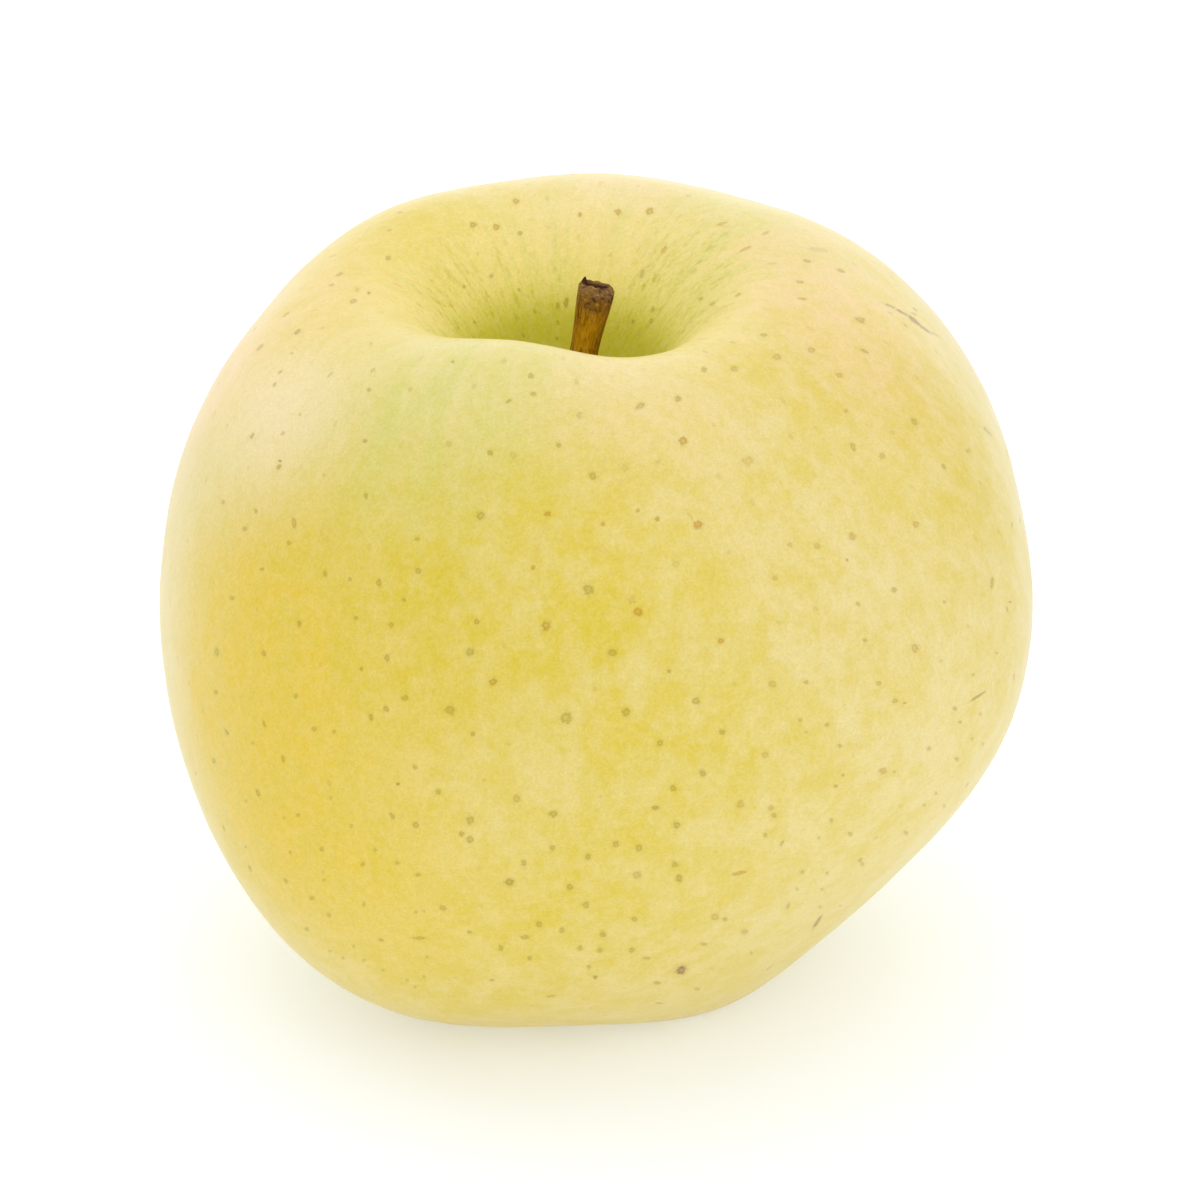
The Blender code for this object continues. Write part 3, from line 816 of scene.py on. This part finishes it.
offsets = flat_skin[corner_point[owned]] - of_pores("centre")
pore_values = np.full((len(corner_point), 3), FAR_OFF)
pore_strength = np.zeros(len(corner_point))
pore_values[owned, 0] = (offsets * of_pores("length_way")).sum(axis=1)
pore_values[owned, 1] = (offsets * of_pores("width_way")).sum(axis=1)
pore_values[owned, 2] = of_pores("tone")
pore_strength[owned] = of_pores("strength")
give(skin_mesh, "pore", pore_values, "FLOAT_VECTOR", "CORNER")
give(skin_mesh, "pore_strength", pore_strength, "FLOAT", "CORNER")
print("faces near a pore:", int((owner != NO_PORE).sum()), "of", faces)

# %% [markdown]
# ## Mixing a finish from nodes
# A finish is a small graph: places on the skin go in, colours come out. The helper below
# keeps each step to one line, so that a finish reads from top to bottom in the order in
# which a painter would lay it on.

# %% A short hand for nodes


class Finish:
    """A material that is built up in coats, with one method for each kind of node it needs."""

    def __init__(self, name, ground):
        self.material = bpy.data.materials.new(name)
        self.material.use_nodes = True
        self.tree = self.material.node_tree
        self.shader = self.tree.nodes["Principled BSDF"]
        self.colour = ground

    def put(self, socket, value):
        """Links a node's output to a socket, or sets the socket to a plain value."""
        if isinstance(value, bpy.types.NodeSocket):
            self.tree.links.new(value, socket)
        else:
            socket.default_value = value

    def node(self, kind, inputs, output=0, **settings):
        """The output of a new node, from what goes into it and how it is set."""
        made = self.tree.nodes.new("ShaderNode" + kind)
        for name, value in settings.items():
            setattr(made, name, value)
        for name, value in inputs.items():
            self.put(made.inputs[name], value)
        return made.outputs[output]

    def stored(self, name, output="Fac"):
        return self.node("Attribute", {}, output, attribute_name=name)

    def place(self):
        return self.node("TexCoord", {}, "Object")

    def parts(self, vector):
        return self.node("SeparateXYZ", {0: vector}, slice(None))

    def speckle(self, where, scale, detail=3.0, rough=0.55):
        inputs = {"Vector": where, "Scale": scale, "Detail": detail, "Roughness": rough}
        return self.node("TexNoise", inputs)

    def stretch(self, where, factors):
        return self.node("VectorMath", {0: where, 1: factors}, operation="MULTIPLY")

    def calc(self, operation, first, second):
        return self.node("Math", {0: first, 1: second}, operation=operation)

    def times(self, first, *others):
        """The product of all values."""
        for other in others:
            first = self.calc("MULTIPLY", first, other)
        return first

    def between(self, value, low, high, out_low=0.0, out_high=1.0):
        """Runs from out_low to out_high as the value runs from low to high."""
        return self.node("MapRange", {0: value, 1: low, 2: high, 3: out_low, 4: out_high})

    def within(self, area, *pattern):
        """A stored area, broken up by a pattern that between() reads."""
        return self.times(self.stored(area), self.between(*pattern))

    def ramp(self, value, stops):
        """Colours or greys, each given with its place from 0 to 1."""
        made = self.tree.nodes.new("ShaderNodeValToRGB")
        self.put(made.inputs[0], value)
        elements = made.color_ramp.elements
        while len(elements) < len(stops):
            elements.new(1.0)
        for element, (at, colour) in zip(elements, stops):
            element.position = at
            element.color = colour if isinstance(colour, tuple) else (colour, colour, colour, 1)
        return made.outputs[0]

    def lay(self, above, share, mode="MIX"):
        """Lays one more coat over the colour so far, as strongly as the share says."""
        inputs = {0: share, 6: self.colour, 7: above}
        self.colour = self.node("Mix", inputs, 2, data_type="RGBA", blend_type=mode)

    def bump(self, height, distance, below=None):
        inputs = {"Distance": distance * MM, "Height": height}
        if below is not None:
            inputs["Normal"] = below
        return self.node("Bump", inputs)

    def surface(self, values):
        """Sets or links the shader's sockets, the colour with all its coats too."""
        for name, value in {"Base Color": self.colour, **values}.items():
            self.put(self.shader.inputs[name], value)


# %% [markdown]
# ## The skin's finish
# Under the wax the skin is a clear yellow, deeper where the green hasn't left it yet. The
# coats go on from the broadest to the finest: clouds, the patches, the greens and streaks of
# the cavity, fine mottling, and last the pores. Some coats are painted light: the pale and
# cream patches are partly a painted reflection and a painted highlight, the cavity's walls
# are lightened where shade falls in them, and pale streaks round the stalk are painted
# glints. Light goes a little way into the flesh, so the skin also scatters light below its
# surface, and a thin bloom of wax makes the rims whitish. In each line between() or within()
# names a pattern, the two values of it between which the coat changes, and how strong the
# coat is at each.

# %% Colour of the skin
YELLOW = linear(226, 204, 103)
YELLOW_DEEP = linear(221, 196, 52)
GOLD = linear(231, 198, 56)
GREEN = linear(202, 207, 96)
PALE_SKIN_AND_SHINE = linear(235, 217, 156)
BLUSH = linear(238, 204, 146)
CREAM_AND_HIGHLIGHT = linear(246, 226, 184)
coat = Finish("waxy_yellow_skin", YELLOW_DEEP)
where = coat.place()
stream = coat.stored("grain", "Vector")
clouds = coat.speckle(where, 125, 4.0, 0.7)
hues = coat.speckle(coat.stretch(where, (1.0, 1.0, 0.8)), 400, 3.0, 0.6)
coat.lay(YELLOW, coat.between(clouds, 0.36, 0.64))
coat.lay(YELLOW_DEEP, coat.within("deep", clouds, 0.35, 0.65, 0.8, 0.2))
# The pale patches: partly paler skin, partly a painted reflection.
coat.lay(PALE_SKIN_AND_SHINE, coat.within("pale_and_reflection", clouds, 0.35, 0.65, 0.6, 1.0))
coat.lay(PALE_SKIN_AND_SHINE, coat.between(hues, 0.42, 0.68, 0.0, 0.38))
coat.lay(YELLOW_DEEP, coat.between(hues, 0.56, 0.3, 0.0, 0.38))
coat.lay(GOLD, coat.within("gold", hues, 0.35, 0.65, 0.45, 1.15))
coat.lay(BLUSH, coat.within("blush", hues, 0.35, 0.65, 0.45, 1.0))
# The cream patches: a painted highlight, partly creamy skin.
coat.lay(CREAM_AND_HIGHLIGHT, coat.stored("cream_and_highlight"))
print("broad colours laid on")

# %% Green in the cavity, its streaks, painted light on its walls and painted glints
BOWL_PAINTED_LIGHT = linear(246, 226, 142)
HOLLOW_GREEN_AND_LIGHT = linear(231, 225, 68)
PIT_GREEN = linear(192, 187, 0)
STREAK_GREEN = linear(174, 168, 0)
streaks = coat.speckle(coat.stretch(stream, (0.3, 0.3, 0.1)), 1.0, 4.0, 0.65)
fine_streaks = coat.speckle(coat.stretch(stream, (0.7, 0.7, 1.0)), 1.0, 4.0, 0.7)
# Painted light: the cavity's walls are lightened where shade falls in the hollow.
coat.lay(BOWL_PAINTED_LIGHT, coat.within("bowl", clouds, 0.35, 0.65, 0.6, 1.0))
coat.lay(GREEN, coat.within("green", streaks, 0.3, 0.7, 0.5, 1.3))
coat.lay(GREEN, coat.within("crown", streaks, 0.45, 0.7, 0.0, 0.45))
# Green in the hollow, also made lighter than the skin as painted light where shade falls in it.
coat.lay(HOLLOW_GREEN_AND_LIGHT, coat.within("hollow", streaks, 0.3, 0.7, 0.45, 1.0))
coat.lay(PIT_GREEN, coat.stored("pit"))
coat.lay(STREAK_GREEN, coat.times(
    coat.within("crown", fine_streaks, 0.5, 0.68, 0.0, 0.9),
    coat.between(coat.stored("streaky"), 0.0, 1.0, 0.15, 1.0),
    coat.between(streaks, 0.38, 0.62, 0.25, 1.1)))
# Painted glints: pale highlight streaks round the stalk, fading out at the pit.
coat.lay(PALE_SKIN_AND_SHINE, coat.times(
    coat.within("crown", fine_streaks, 0.46, 0.3, 0.0, 1.0),
    coat.between(coat.stored("pit"), 0.0, 1.0, 0.5, 0.0)))
coat.lay(GREEN, coat.times(coat.stored("basin"), 0.5))
print("greens laid on")

# %% Fine mottling
# Spots of the skin up to a millimetre wide are a little paler or deeper than their
# neighbours, and specks a quarter as wide are a little lighter or darker.
MOTTLE_PALE = linear(232, 215, 140)
MOTTLE_DEEP = linear(219, 196, 56)
mottle = coat.speckle(where, 1100, 4.0, 0.75)
cells = coat.speckle(where, 4200, 2.0, 0.7)
coat.lay(MOTTLE_PALE, coat.between(mottle, 0.42, 0.72, 0.0, 0.32))
coat.lay(MOTTLE_DEEP, coat.between(mottle, 0.55, 0.28, 0.0, 0.34))
coat.lay(coat.between(cells, 0.3, 0.7, 0.945, 1.055), 1.0, "MULTIPLY")

# %% Pores on the skin
# The stored pore says how far a place lies from the pore's middle along both half axes, in
# radii, and the pore's tone. Noise makes the ring uneven.
RING = ((0.0, 0.6), (0.12, 0.68), (0.23, 1.0), (0.32, 0.95), (0.4, 0.4), (0.52, 0.12), (0.85, 0.0))
RING_SCALE = 0.4
PORE_COLOURS = (
    (OLIVE, linear(172, 148, 0)), (OCHRE, linear(188, 150, 0)), (ORANGE, linear(196, 146, 0)),
    (BROWN, linear(150, 108, 0)), (SCAR, linear(138, 92, 16)), (DARK, linear(118, 52, 8)),
)
PORE_SHARE = 0.8
by_length, by_width, pore_tone = coat.parts(coat.stored("pore", "Vector"))
squares = coat.calc("ADD", coat.times(by_length, by_length), coat.times(by_width, by_width))
wobble = coat.between(coat.speckle(where, 3400, 2.0, 0.6), 0.3, 0.7, -0.35, 0.35)
pore_far = coat.calc("ADD", coat.calc("POWER", squares, 0.5), wobble)
ring = coat.ramp(coat.times(pore_far, RING_SCALE), RING)
pore_share = coat.times(ring, coat.stored("pore_strength"), PORE_SHARE)
coat.lay(coat.ramp(pore_tone, PORE_COLOURS), pore_share)

# %% Wax and flesh
# The wax is duller in the cavity. A little light goes into the flesh.
gloss = coat.calc(
    "ADD", coat.between(mottle, 0.3, 0.7, 0.28, 0.36), coat.times(coat.stored("bowl"), 0.3))
fine_skin = coat.bump(coat.speckle(where, 1500, 3.0, 0.6), 0.02)
coat.surface({
    "IOR": 1.42,
    "Roughness": gloss,
    "Normal": coat.bump(coat.times(pore_share, -1.0), 0.05, fine_skin),
    "Subsurface Weight": 0.08,
    "Subsurface Radius": (1.0, 0.7, 0.25),
    "Subsurface Scale": 1.0 * MM,
    "Sheen Weight": 0.07,
    "Sheen Roughness": 0.5,
})

skin_piece = add_piece(skin_mesh, coat.material)
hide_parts("fruit")
print("skin nodes:", len(coat.tree.nodes))

# %% [markdown]
# ## The stalk
# The stalk is a woody stem that broke off the tree. Its bark runs in lengthwise fibres, it
# flares towards the break, and the break itself is a torn crater with a sharp tooth at the
# back. A bevelled curve gives a smooth tube, so the rings are drawn point by point instead:
# fibres move each point in and out, and the torn end is a small landscape on the last disc.

# %% Shape the stalk
STALK_SIDES, STALK_RINGS, END_RINGS = 96, 130, 26
FIBRE_DEPTH, FINE_FIBRE_DEPTH = 0.05, 0.025
EDGE_ROUND, END_LIFT, END_DOME = 0.02, 0.38, 0.12
SPLINTER, SPLINTER_SIZE, FINE_SPLINTER, FINE_SPLINTER_SIZE = 0.09, 0.32, 0.05, 0.13
# Shares of the length at which the edge rounds, the break starts to rise and the dark starts,
# with the length that each takes.
EDGE_AT, BREAK_AT, DARK_AT = 0.975, 0.93, 0.96
EDGE_LENGTH, BREAK_LENGTH, DARK_LENGTH = 0.025, 0.07, 0.04
Form = namedtuple("Form", "right back wide deep height")
# Forms on the torn end, in millimetres to the right of and behind its middle.
BREAK_FORMS = [Form(*numbers) for numbers in (
    (-0.35, 0.65, 0.75, 0.42, -0.5), (0.5, 0.6, 0.45, 0.35, -0.4), (-1.15, 0.85, 0.26, 0.3, 0.6),
    (-0.75, 1.2, 0.3, 0.3, 0.15), (0.0, 1.4, 0.2, 0.25, 0.15), (1.0, 0.9, 0.4, 0.4, 0.12),
    (0.1, -1.5, 1.4, 0.8, -0.25), (1.5, -0.4, 0.4, 0.8, -0.15), (-1.5, -0.3, 0.4, 0.6, -0.15),
    (-0.5, -0.1, 0.35, 0.25, 0.12), (0.75, -0.1, 0.3, 0.25, 0.12),
)]
# Where the torn end is darkened: dark torn wood, and painted shade in the crater's hollows.
# Here a height of 1 means fully dark.
SHADED_AND_DARK_HOLLOWS = (
    Form(-0.35, 0.7, 0.85, 0.42, 1), Form(0.5, 0.62, 0.5, 0.36, 1), Form(-1.15, 0.8, 0.2, 0.3, 1),
)

stalk_axis = (STALK_TOP - STALK_FOOT) / np.linalg.norm(STALK_TOP - STALK_FOOT)
stalk_back = np.array((0.0, 1.0, 0.0))
stalk_right = np.cross(stalk_back, stalk_axis)
turns = np.linspace(0, 2 * math.pi, STALK_SIDES, endpoint=False)


def stalk_ring(share, radii, lift=0.0):
    """A ring of points round the stalk's line, as far out as the radii say."""
    out = np.cos(turns)[:, None] * stalk_right + np.sin(turns)[:, None] * stalk_back
    lift = np.broadcast_to(lift, STALK_SIDES)[:, None]
    return stalk_centre(share) + out * radii[:, None] + lift * stalk_axis


def fibre_noise(share, count, along_stalk, seed):
    """Noise round one ring, finer with a greater count, and drawn out along the stalk."""
    return np.array([
        noise.noise(Vector((count * math.cos(t), count * math.sin(t), share * along_stalk + seed)))
        for t in turns
    ])


def fibres(share):
    """How far the bark's fibres stand out round one ring."""
    fine = fibre_noise(share, 6, 7, 9) + 0.6 * fibre_noise(share, 13, 26, 5)
    return FIBRE_DEPTH * fibre_noise(share, 2.1, 1.6, 0) + FINE_FIBRE_DEPTH * fine


def on_end(radii, forms):
    """The sum of the forms at each point of a ring on the torn end."""
    right, back = radii * np.cos(turns), radii * np.sin(turns)
    return sum(
        form.height * np.exp(
            -((right - form.right) / form.wide) ** 2 - ((back - form.back) / form.deep) ** 2)
        for form in forms
    )


def break_heights(radii):
    """The height of the torn end at each point of a ring."""
    spots = [Vector((r * math.cos(t), r * math.sin(t), 0)) for r, t in zip(radii, turns)]
    shift = Vector((0, 0, 4))
    rough = [
        SPLINTER * noise.noise(spot / SPLINTER_SIZE)
        + FINE_SPLINTER * noise.noise(spot / FINE_SPLINTER_SIZE + shift)
        for spot in spots
    ]
    return on_end(radii, BREAK_FORMS) + rough + END_LIFT


# Each ring comes with its share of the stalk's length and how dark it is: dark torn wood,
# and painted shade in the crater's hollows.
still = np.zeros(STALK_SIDES)
rings, ring_shares, ring_dark_and_shade = [stalk_ring(0, still)], [0.0], [still]
for share in np.linspace(0, 1, STALK_RINGS):
    rounding = 1 - EDGE_ROUND * ease((share - EDGE_AT) / EDGE_LENGTH)
    radii = float(stalk_radius_at(share)) * (rounding + fibres(share))
    lift = break_heights(radii) * ease((share - BREAK_AT) / BREAK_LENGTH)
    rings.append(stalk_ring(share, radii, lift))
    ring_shares.append(share)
    ring_dark_and_shade.append(on_end(radii, SHADED_AND_DARK_HOLLOWS) * ease((share - DARK_AT) / DARK_LENGTH))
for inward in np.linspace(0.96, 0, END_RINGS):
    inner_radii = radii * inward
    dome = END_DOME * (1 - inward ** 8)
    rings.append(stalk_ring(1.0, inner_radii, break_heights(inner_radii) + dome))
    ring_shares.append(1.0 + 0.1 * (1 - inward))
    ring_dark_and_shade.append(on_end(inner_radii, SHADED_AND_DARK_HOLLOWS))
stalk_mesh = ring_mesh("stalk_bark", np.array(rings))
share_grid, turn_grid = np.meshgrid(ring_shares, turns, indexing="ij")
bark_grain = np.stack([np.cos(turn_grid), np.sin(turn_grid), share_grid], axis=-1)
give(stalk_mesh, "share", per_point(share_grid))
# The torn mask holds dark torn wood and painted shade in the crater's hollows.
give(stalk_mesh, "torn", per_point(np.clip(np.array(ring_dark_and_shade), 0, 1)))
give(stalk_mesh, "bark_grain", per_point(bark_grain), "FLOAT_VECTOR")
print("stalk faces:", len(stalk_mesh.polygons))

# %% [markdown]
# ## The bark's finish
# The bark is ochre-brown with lighter and darker fibres, greyer and darker for two
# millimetres below the break, and almost black inside the crater: partly dark torn wood,
# partly painted shade in the crater's hollows. Its right side is darker as painted shade. The
# noise is stretched along the stalk, so that its lumps turn into fibres.

# %% Colour of the bark
OCHRE_BARK = linear(184, 134, 10)
BARK_DARK = linear(96, 60, 0)
BARK_LIGHT = linear(214, 166, 64)
WEATHERED = linear(122, 88, 50)
BREAK_DARK = linear(58, 34, 20)
bark = Finish("dry_bark", BARK_DARK)
bark_stream = bark.stored("bark_grain", "Vector")
to_the_right = bark.parts(bark_stream)[0]
long_fibres = bark.speckle(bark.stretch(bark_stream, (2.6, 2.6, 5.0)), 1.0, 4.0, 0.65)
fine_fibres = bark.speckle(bark.stretch(bark_stream, (8.0, 8.0, 22.0)), 1.0, 4.0, 0.7)
bark.lay(OCHRE_BARK, bark.between(long_fibres, 0.3, 0.56))
bark.lay(BARK_LIGHT, bark.between(fine_fibres, 0.5, 0.7, 0.0, 0.55))
bark.lay(BARK_DARK, bark.between(fine_fibres, 0.48, 0.3, 0.0, 0.75))
# Painted shade: the right side of the stalk is darker, as if the light came from the left.
shaded_side = bark.calc("ADD", to_the_right, bark.between(long_fibres, 0.3, 0.7, -0.3, 0.3))
bark.lay(BARK_DARK, bark.between(shaded_side, 0.3, 0.9, 0.0, 0.6))
ragged = bark.between(long_fibres, 0.3, 0.7, -0.06, 0.06)
weathered = bark.between(bark.calc("ADD", bark.stored("share"), ragged), 0.885, 0.965)
bark.lay(WEATHERED, bark.times(weathered, 0.8))
flakes = bark.speckle(bark.place(), 1700, 4.0, 0.75)
bark.lay(BARK_LIGHT, bark.times(weathered, bark.between(flakes, 0.56, 0.68, 0.0, 0.7)))
bark.lay(BREAK_DARK, bark.times(weathered, bark.between(flakes, 0.48, 0.38, 0.0, 0.85)))
# Almost black in the crater: dark torn wood, and painted shade in its hollows.
torn = bark.calc("ADD", bark.stored("torn"), bark.between(flakes, 0.3, 0.7, -0.25, 0.25))
bark.lay(BREAK_DARK, bark.between(torn, 0.3, 0.7, 0.0, 0.95))
bark.surface({
    "Roughness": 0.7, "Specular IOR Level": 0.12, "Normal": bark.bump(fine_fibres, 0.08)})

stalk_piece = add_piece(stalk_mesh, bark.material)
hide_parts("stalk")
print("bark nodes:", len(bark.tree.nodes))

# %% [markdown]
# ## The calyx
# Underneath, in the basin, the flower left its five sepals and a tuft of stamens. The
# photograph doesn't show them, so they are made as such fruit has them: dry, curled, and
# grey-brown with paler hairs. Each sepal is a thin leaf drawn as rings round its midrib.

# %% Shape the sepals
SEPALS, SEPAL_TURN = 5, 20
SEPAL_STEPS, SEPAL_SIDES = 18, 20
SEPAL_HALF_WIDTH, SEPAL_THICKNESS = 1.25, 0.3
SEPAL_CUP, SEPAL_CRINKLE = 0.22, 0.09
STANDING = np.array((0, 0, 1))
# The midrib's path from the cup to the tip: distance from the core and height on the outline.
SEPAL_REACH = smooth_curve((0, 0.3, 0.6, 0.85, 1), (1.0, 1.7, 2.6, 3.6, 4.2))
SEPAL_HEIGHT = smooth_curve((0, 0.3, 0.6, 0.85, 1), (8.0, 6.9, 6.1, 5.7, 5.9))


def sepal_rings(degrees, longer, curl, seed):
    """Rings round the midrib of one sepal."""
    turn = math.radians(degrees)
    out = np.array((math.cos(turn), math.sin(turn), 0))
    side = np.array((-math.sin(turn), math.cos(turn), 0))
    round_edge = np.linspace(0, 2 * math.pi, SEPAL_SIDES, endpoint=False)
    made = []
    for s in np.linspace(0, 1, SEPAL_STEPS):
        reach = 1 + (SEPAL_REACH(s) - 1) * longer
        middle = out * reach + np.array((0, 0, SEPAL_HEIGHT(s) + curl * s ** 3))
        half = SEPAL_HALF_WIDTH * (0.75 + 0.5 * s) * (1 - s) ** 0.6 if 0 < s < 1 else 0
        thick = SEPAL_THICKNESS / 2 * (1 - 0.6 * s)
        across = np.cos(round_edge) * half
        crinkle = SEPAL_CRINKLE * np.sin(across * 5 + s * 7 + seed)
        lift = SEPAL_CUP * across ** 2 + crinkle + np.sin(round_edge) * (thick if half else 0)
        made.append(middle + across[:, None] * side + lift[:, None] * STANDING)
    return np.array(made) + PLACE


def join_meshes(name, meshes):
    """One mesh from several."""
    points, faces = [], []
    for mesh in meshes:
        start = len(points)
        points += [vertex.co[:] for vertex in mesh.vertices]
        faces += [[start + i for i in polygon.vertices] for polygon in mesh.polygons]
    joined = bpy.data.meshes.new(name)
    joined.from_pydata(points, [], faces)
    joined.shade_smooth()
    return joined


sepal_meshes = []
for number in range(SEPALS):
    longer, curl = rng.uniform(0.8, 1.02), rng.uniform(-0.3, 0.5)
    degrees = SEPAL_TURN + number * 360 / SEPALS + rng.uniform(-7, 7)
    sepal_meshes.append(ring_mesh("sepal", sepal_rings(degrees, longer, curl, number * 2.3)))
# The cup that the sepals grow from, as radius and height.
CUP_FORM = (
    (0.0, 8.45), (1.4, 8.4), (1.62, 8.0), (1.5, 7.6), (1.2, 7.45), (0.9, 7.6), (0.5, 7.95),
    (0.0, 8.1),
)
cup_turn = np.linspace(0, 2 * math.pi, 40, endpoint=False)
cup_wave = 1 + 0.04 * np.sin(5 * cup_turn)
cup_rings = [
    np.stack([
        r * cup_wave * np.cos(cup_turn), r * cup_wave * np.sin(cup_turn), z + 0 * cup_turn,
    ], axis=-1) + PLACE
    for r, z in CUP_FORM
]
sepal_meshes.append(ring_mesh("cup", np.array(cup_rings)))
sepals_mesh = join_meshes("calyx_sepals", sepal_meshes)
print("sepal faces:", len(sepals_mesh.polygons))

# %% Shape the stamens
STAMENS, STAMEN_STEPS, STAMEN_SIDES = 16, 9, 8
STAMEN_ROOT = 8.0
STAMEN_THICK, STAMEN_TIP, TIP_FROM = 0.07, 0.07, 0.8
stamen_turn = np.linspace(0, 2 * math.pi, STAMEN_SIDES, endpoint=False)
round_stamen = np.stack([np.cos(stamen_turn), np.sin(stamen_turn), 0 * stamen_turn], axis=-1)
stamen_meshes = []
for number in range(STAMENS):
    turn = number * 2.4
    start = 0.25 + 0.6 * (number / STAMENS) ** 0.5
    lean, length = rng.uniform(0.1, 0.7), rng.uniform(1.4, 2.3)
    rings = []
    for s in np.linspace(0, 1, STAMEN_STEPS):
        reach = start + lean * s ** 1.5
        curved = turn + 0.5 * s
        height = STAMEN_ROOT - length * s
        middle = np.array((reach * math.cos(curved), reach * math.sin(curved), height))
        thick = STAMEN_THICK + (STAMEN_TIP if s > TIP_FROM else 0)
        rings.append(middle + round_stamen * (0 if s in (0, 1) else thick) + PLACE)
    stamen_meshes.append(ring_mesh("stamen", np.array(rings)))
stamens_mesh = join_meshes("calyx_stamens", stamen_meshes)
print("stamen faces:", len(stamens_mesh.polygons))

# %% Colour of the calyx
HUSK = linear(112, 92, 58)
HUSK_DARK = linear(66, 50, 32)
HUSK_PALE = linear(168, 152, 112)
husk = Finish("dry_husk", HUSK_DARK)
husk_place = husk.place()
lumps = husk.speckle(husk_place, 700, 4.0, 0.6)
hairs = husk.speckle(husk.stretch(husk_place, (2600, 2600, 900)), 1.0, 3.0, 0.6)
husk.lay(HUSK, husk.between(lumps, 0.35, 0.65))
husk.lay(HUSK_PALE, husk.between(hairs, 0.55, 0.75, 0.0, 0.6))
husk.surface({"Roughness": 0.85, "Normal": husk.bump(hairs, 0.1)})
sepals_piece = add_piece(sepals_mesh, husk.material)
add_piece(stamens_mesh, husk.material)
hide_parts("calyx")
print("husk nodes:", len(husk.tree.nodes))

# %% [markdown]
# ## The last step
# The dressed fruit may not outgrow the imported model.

# %% Bring the scene up to date
bpy.context.view_layer.update()
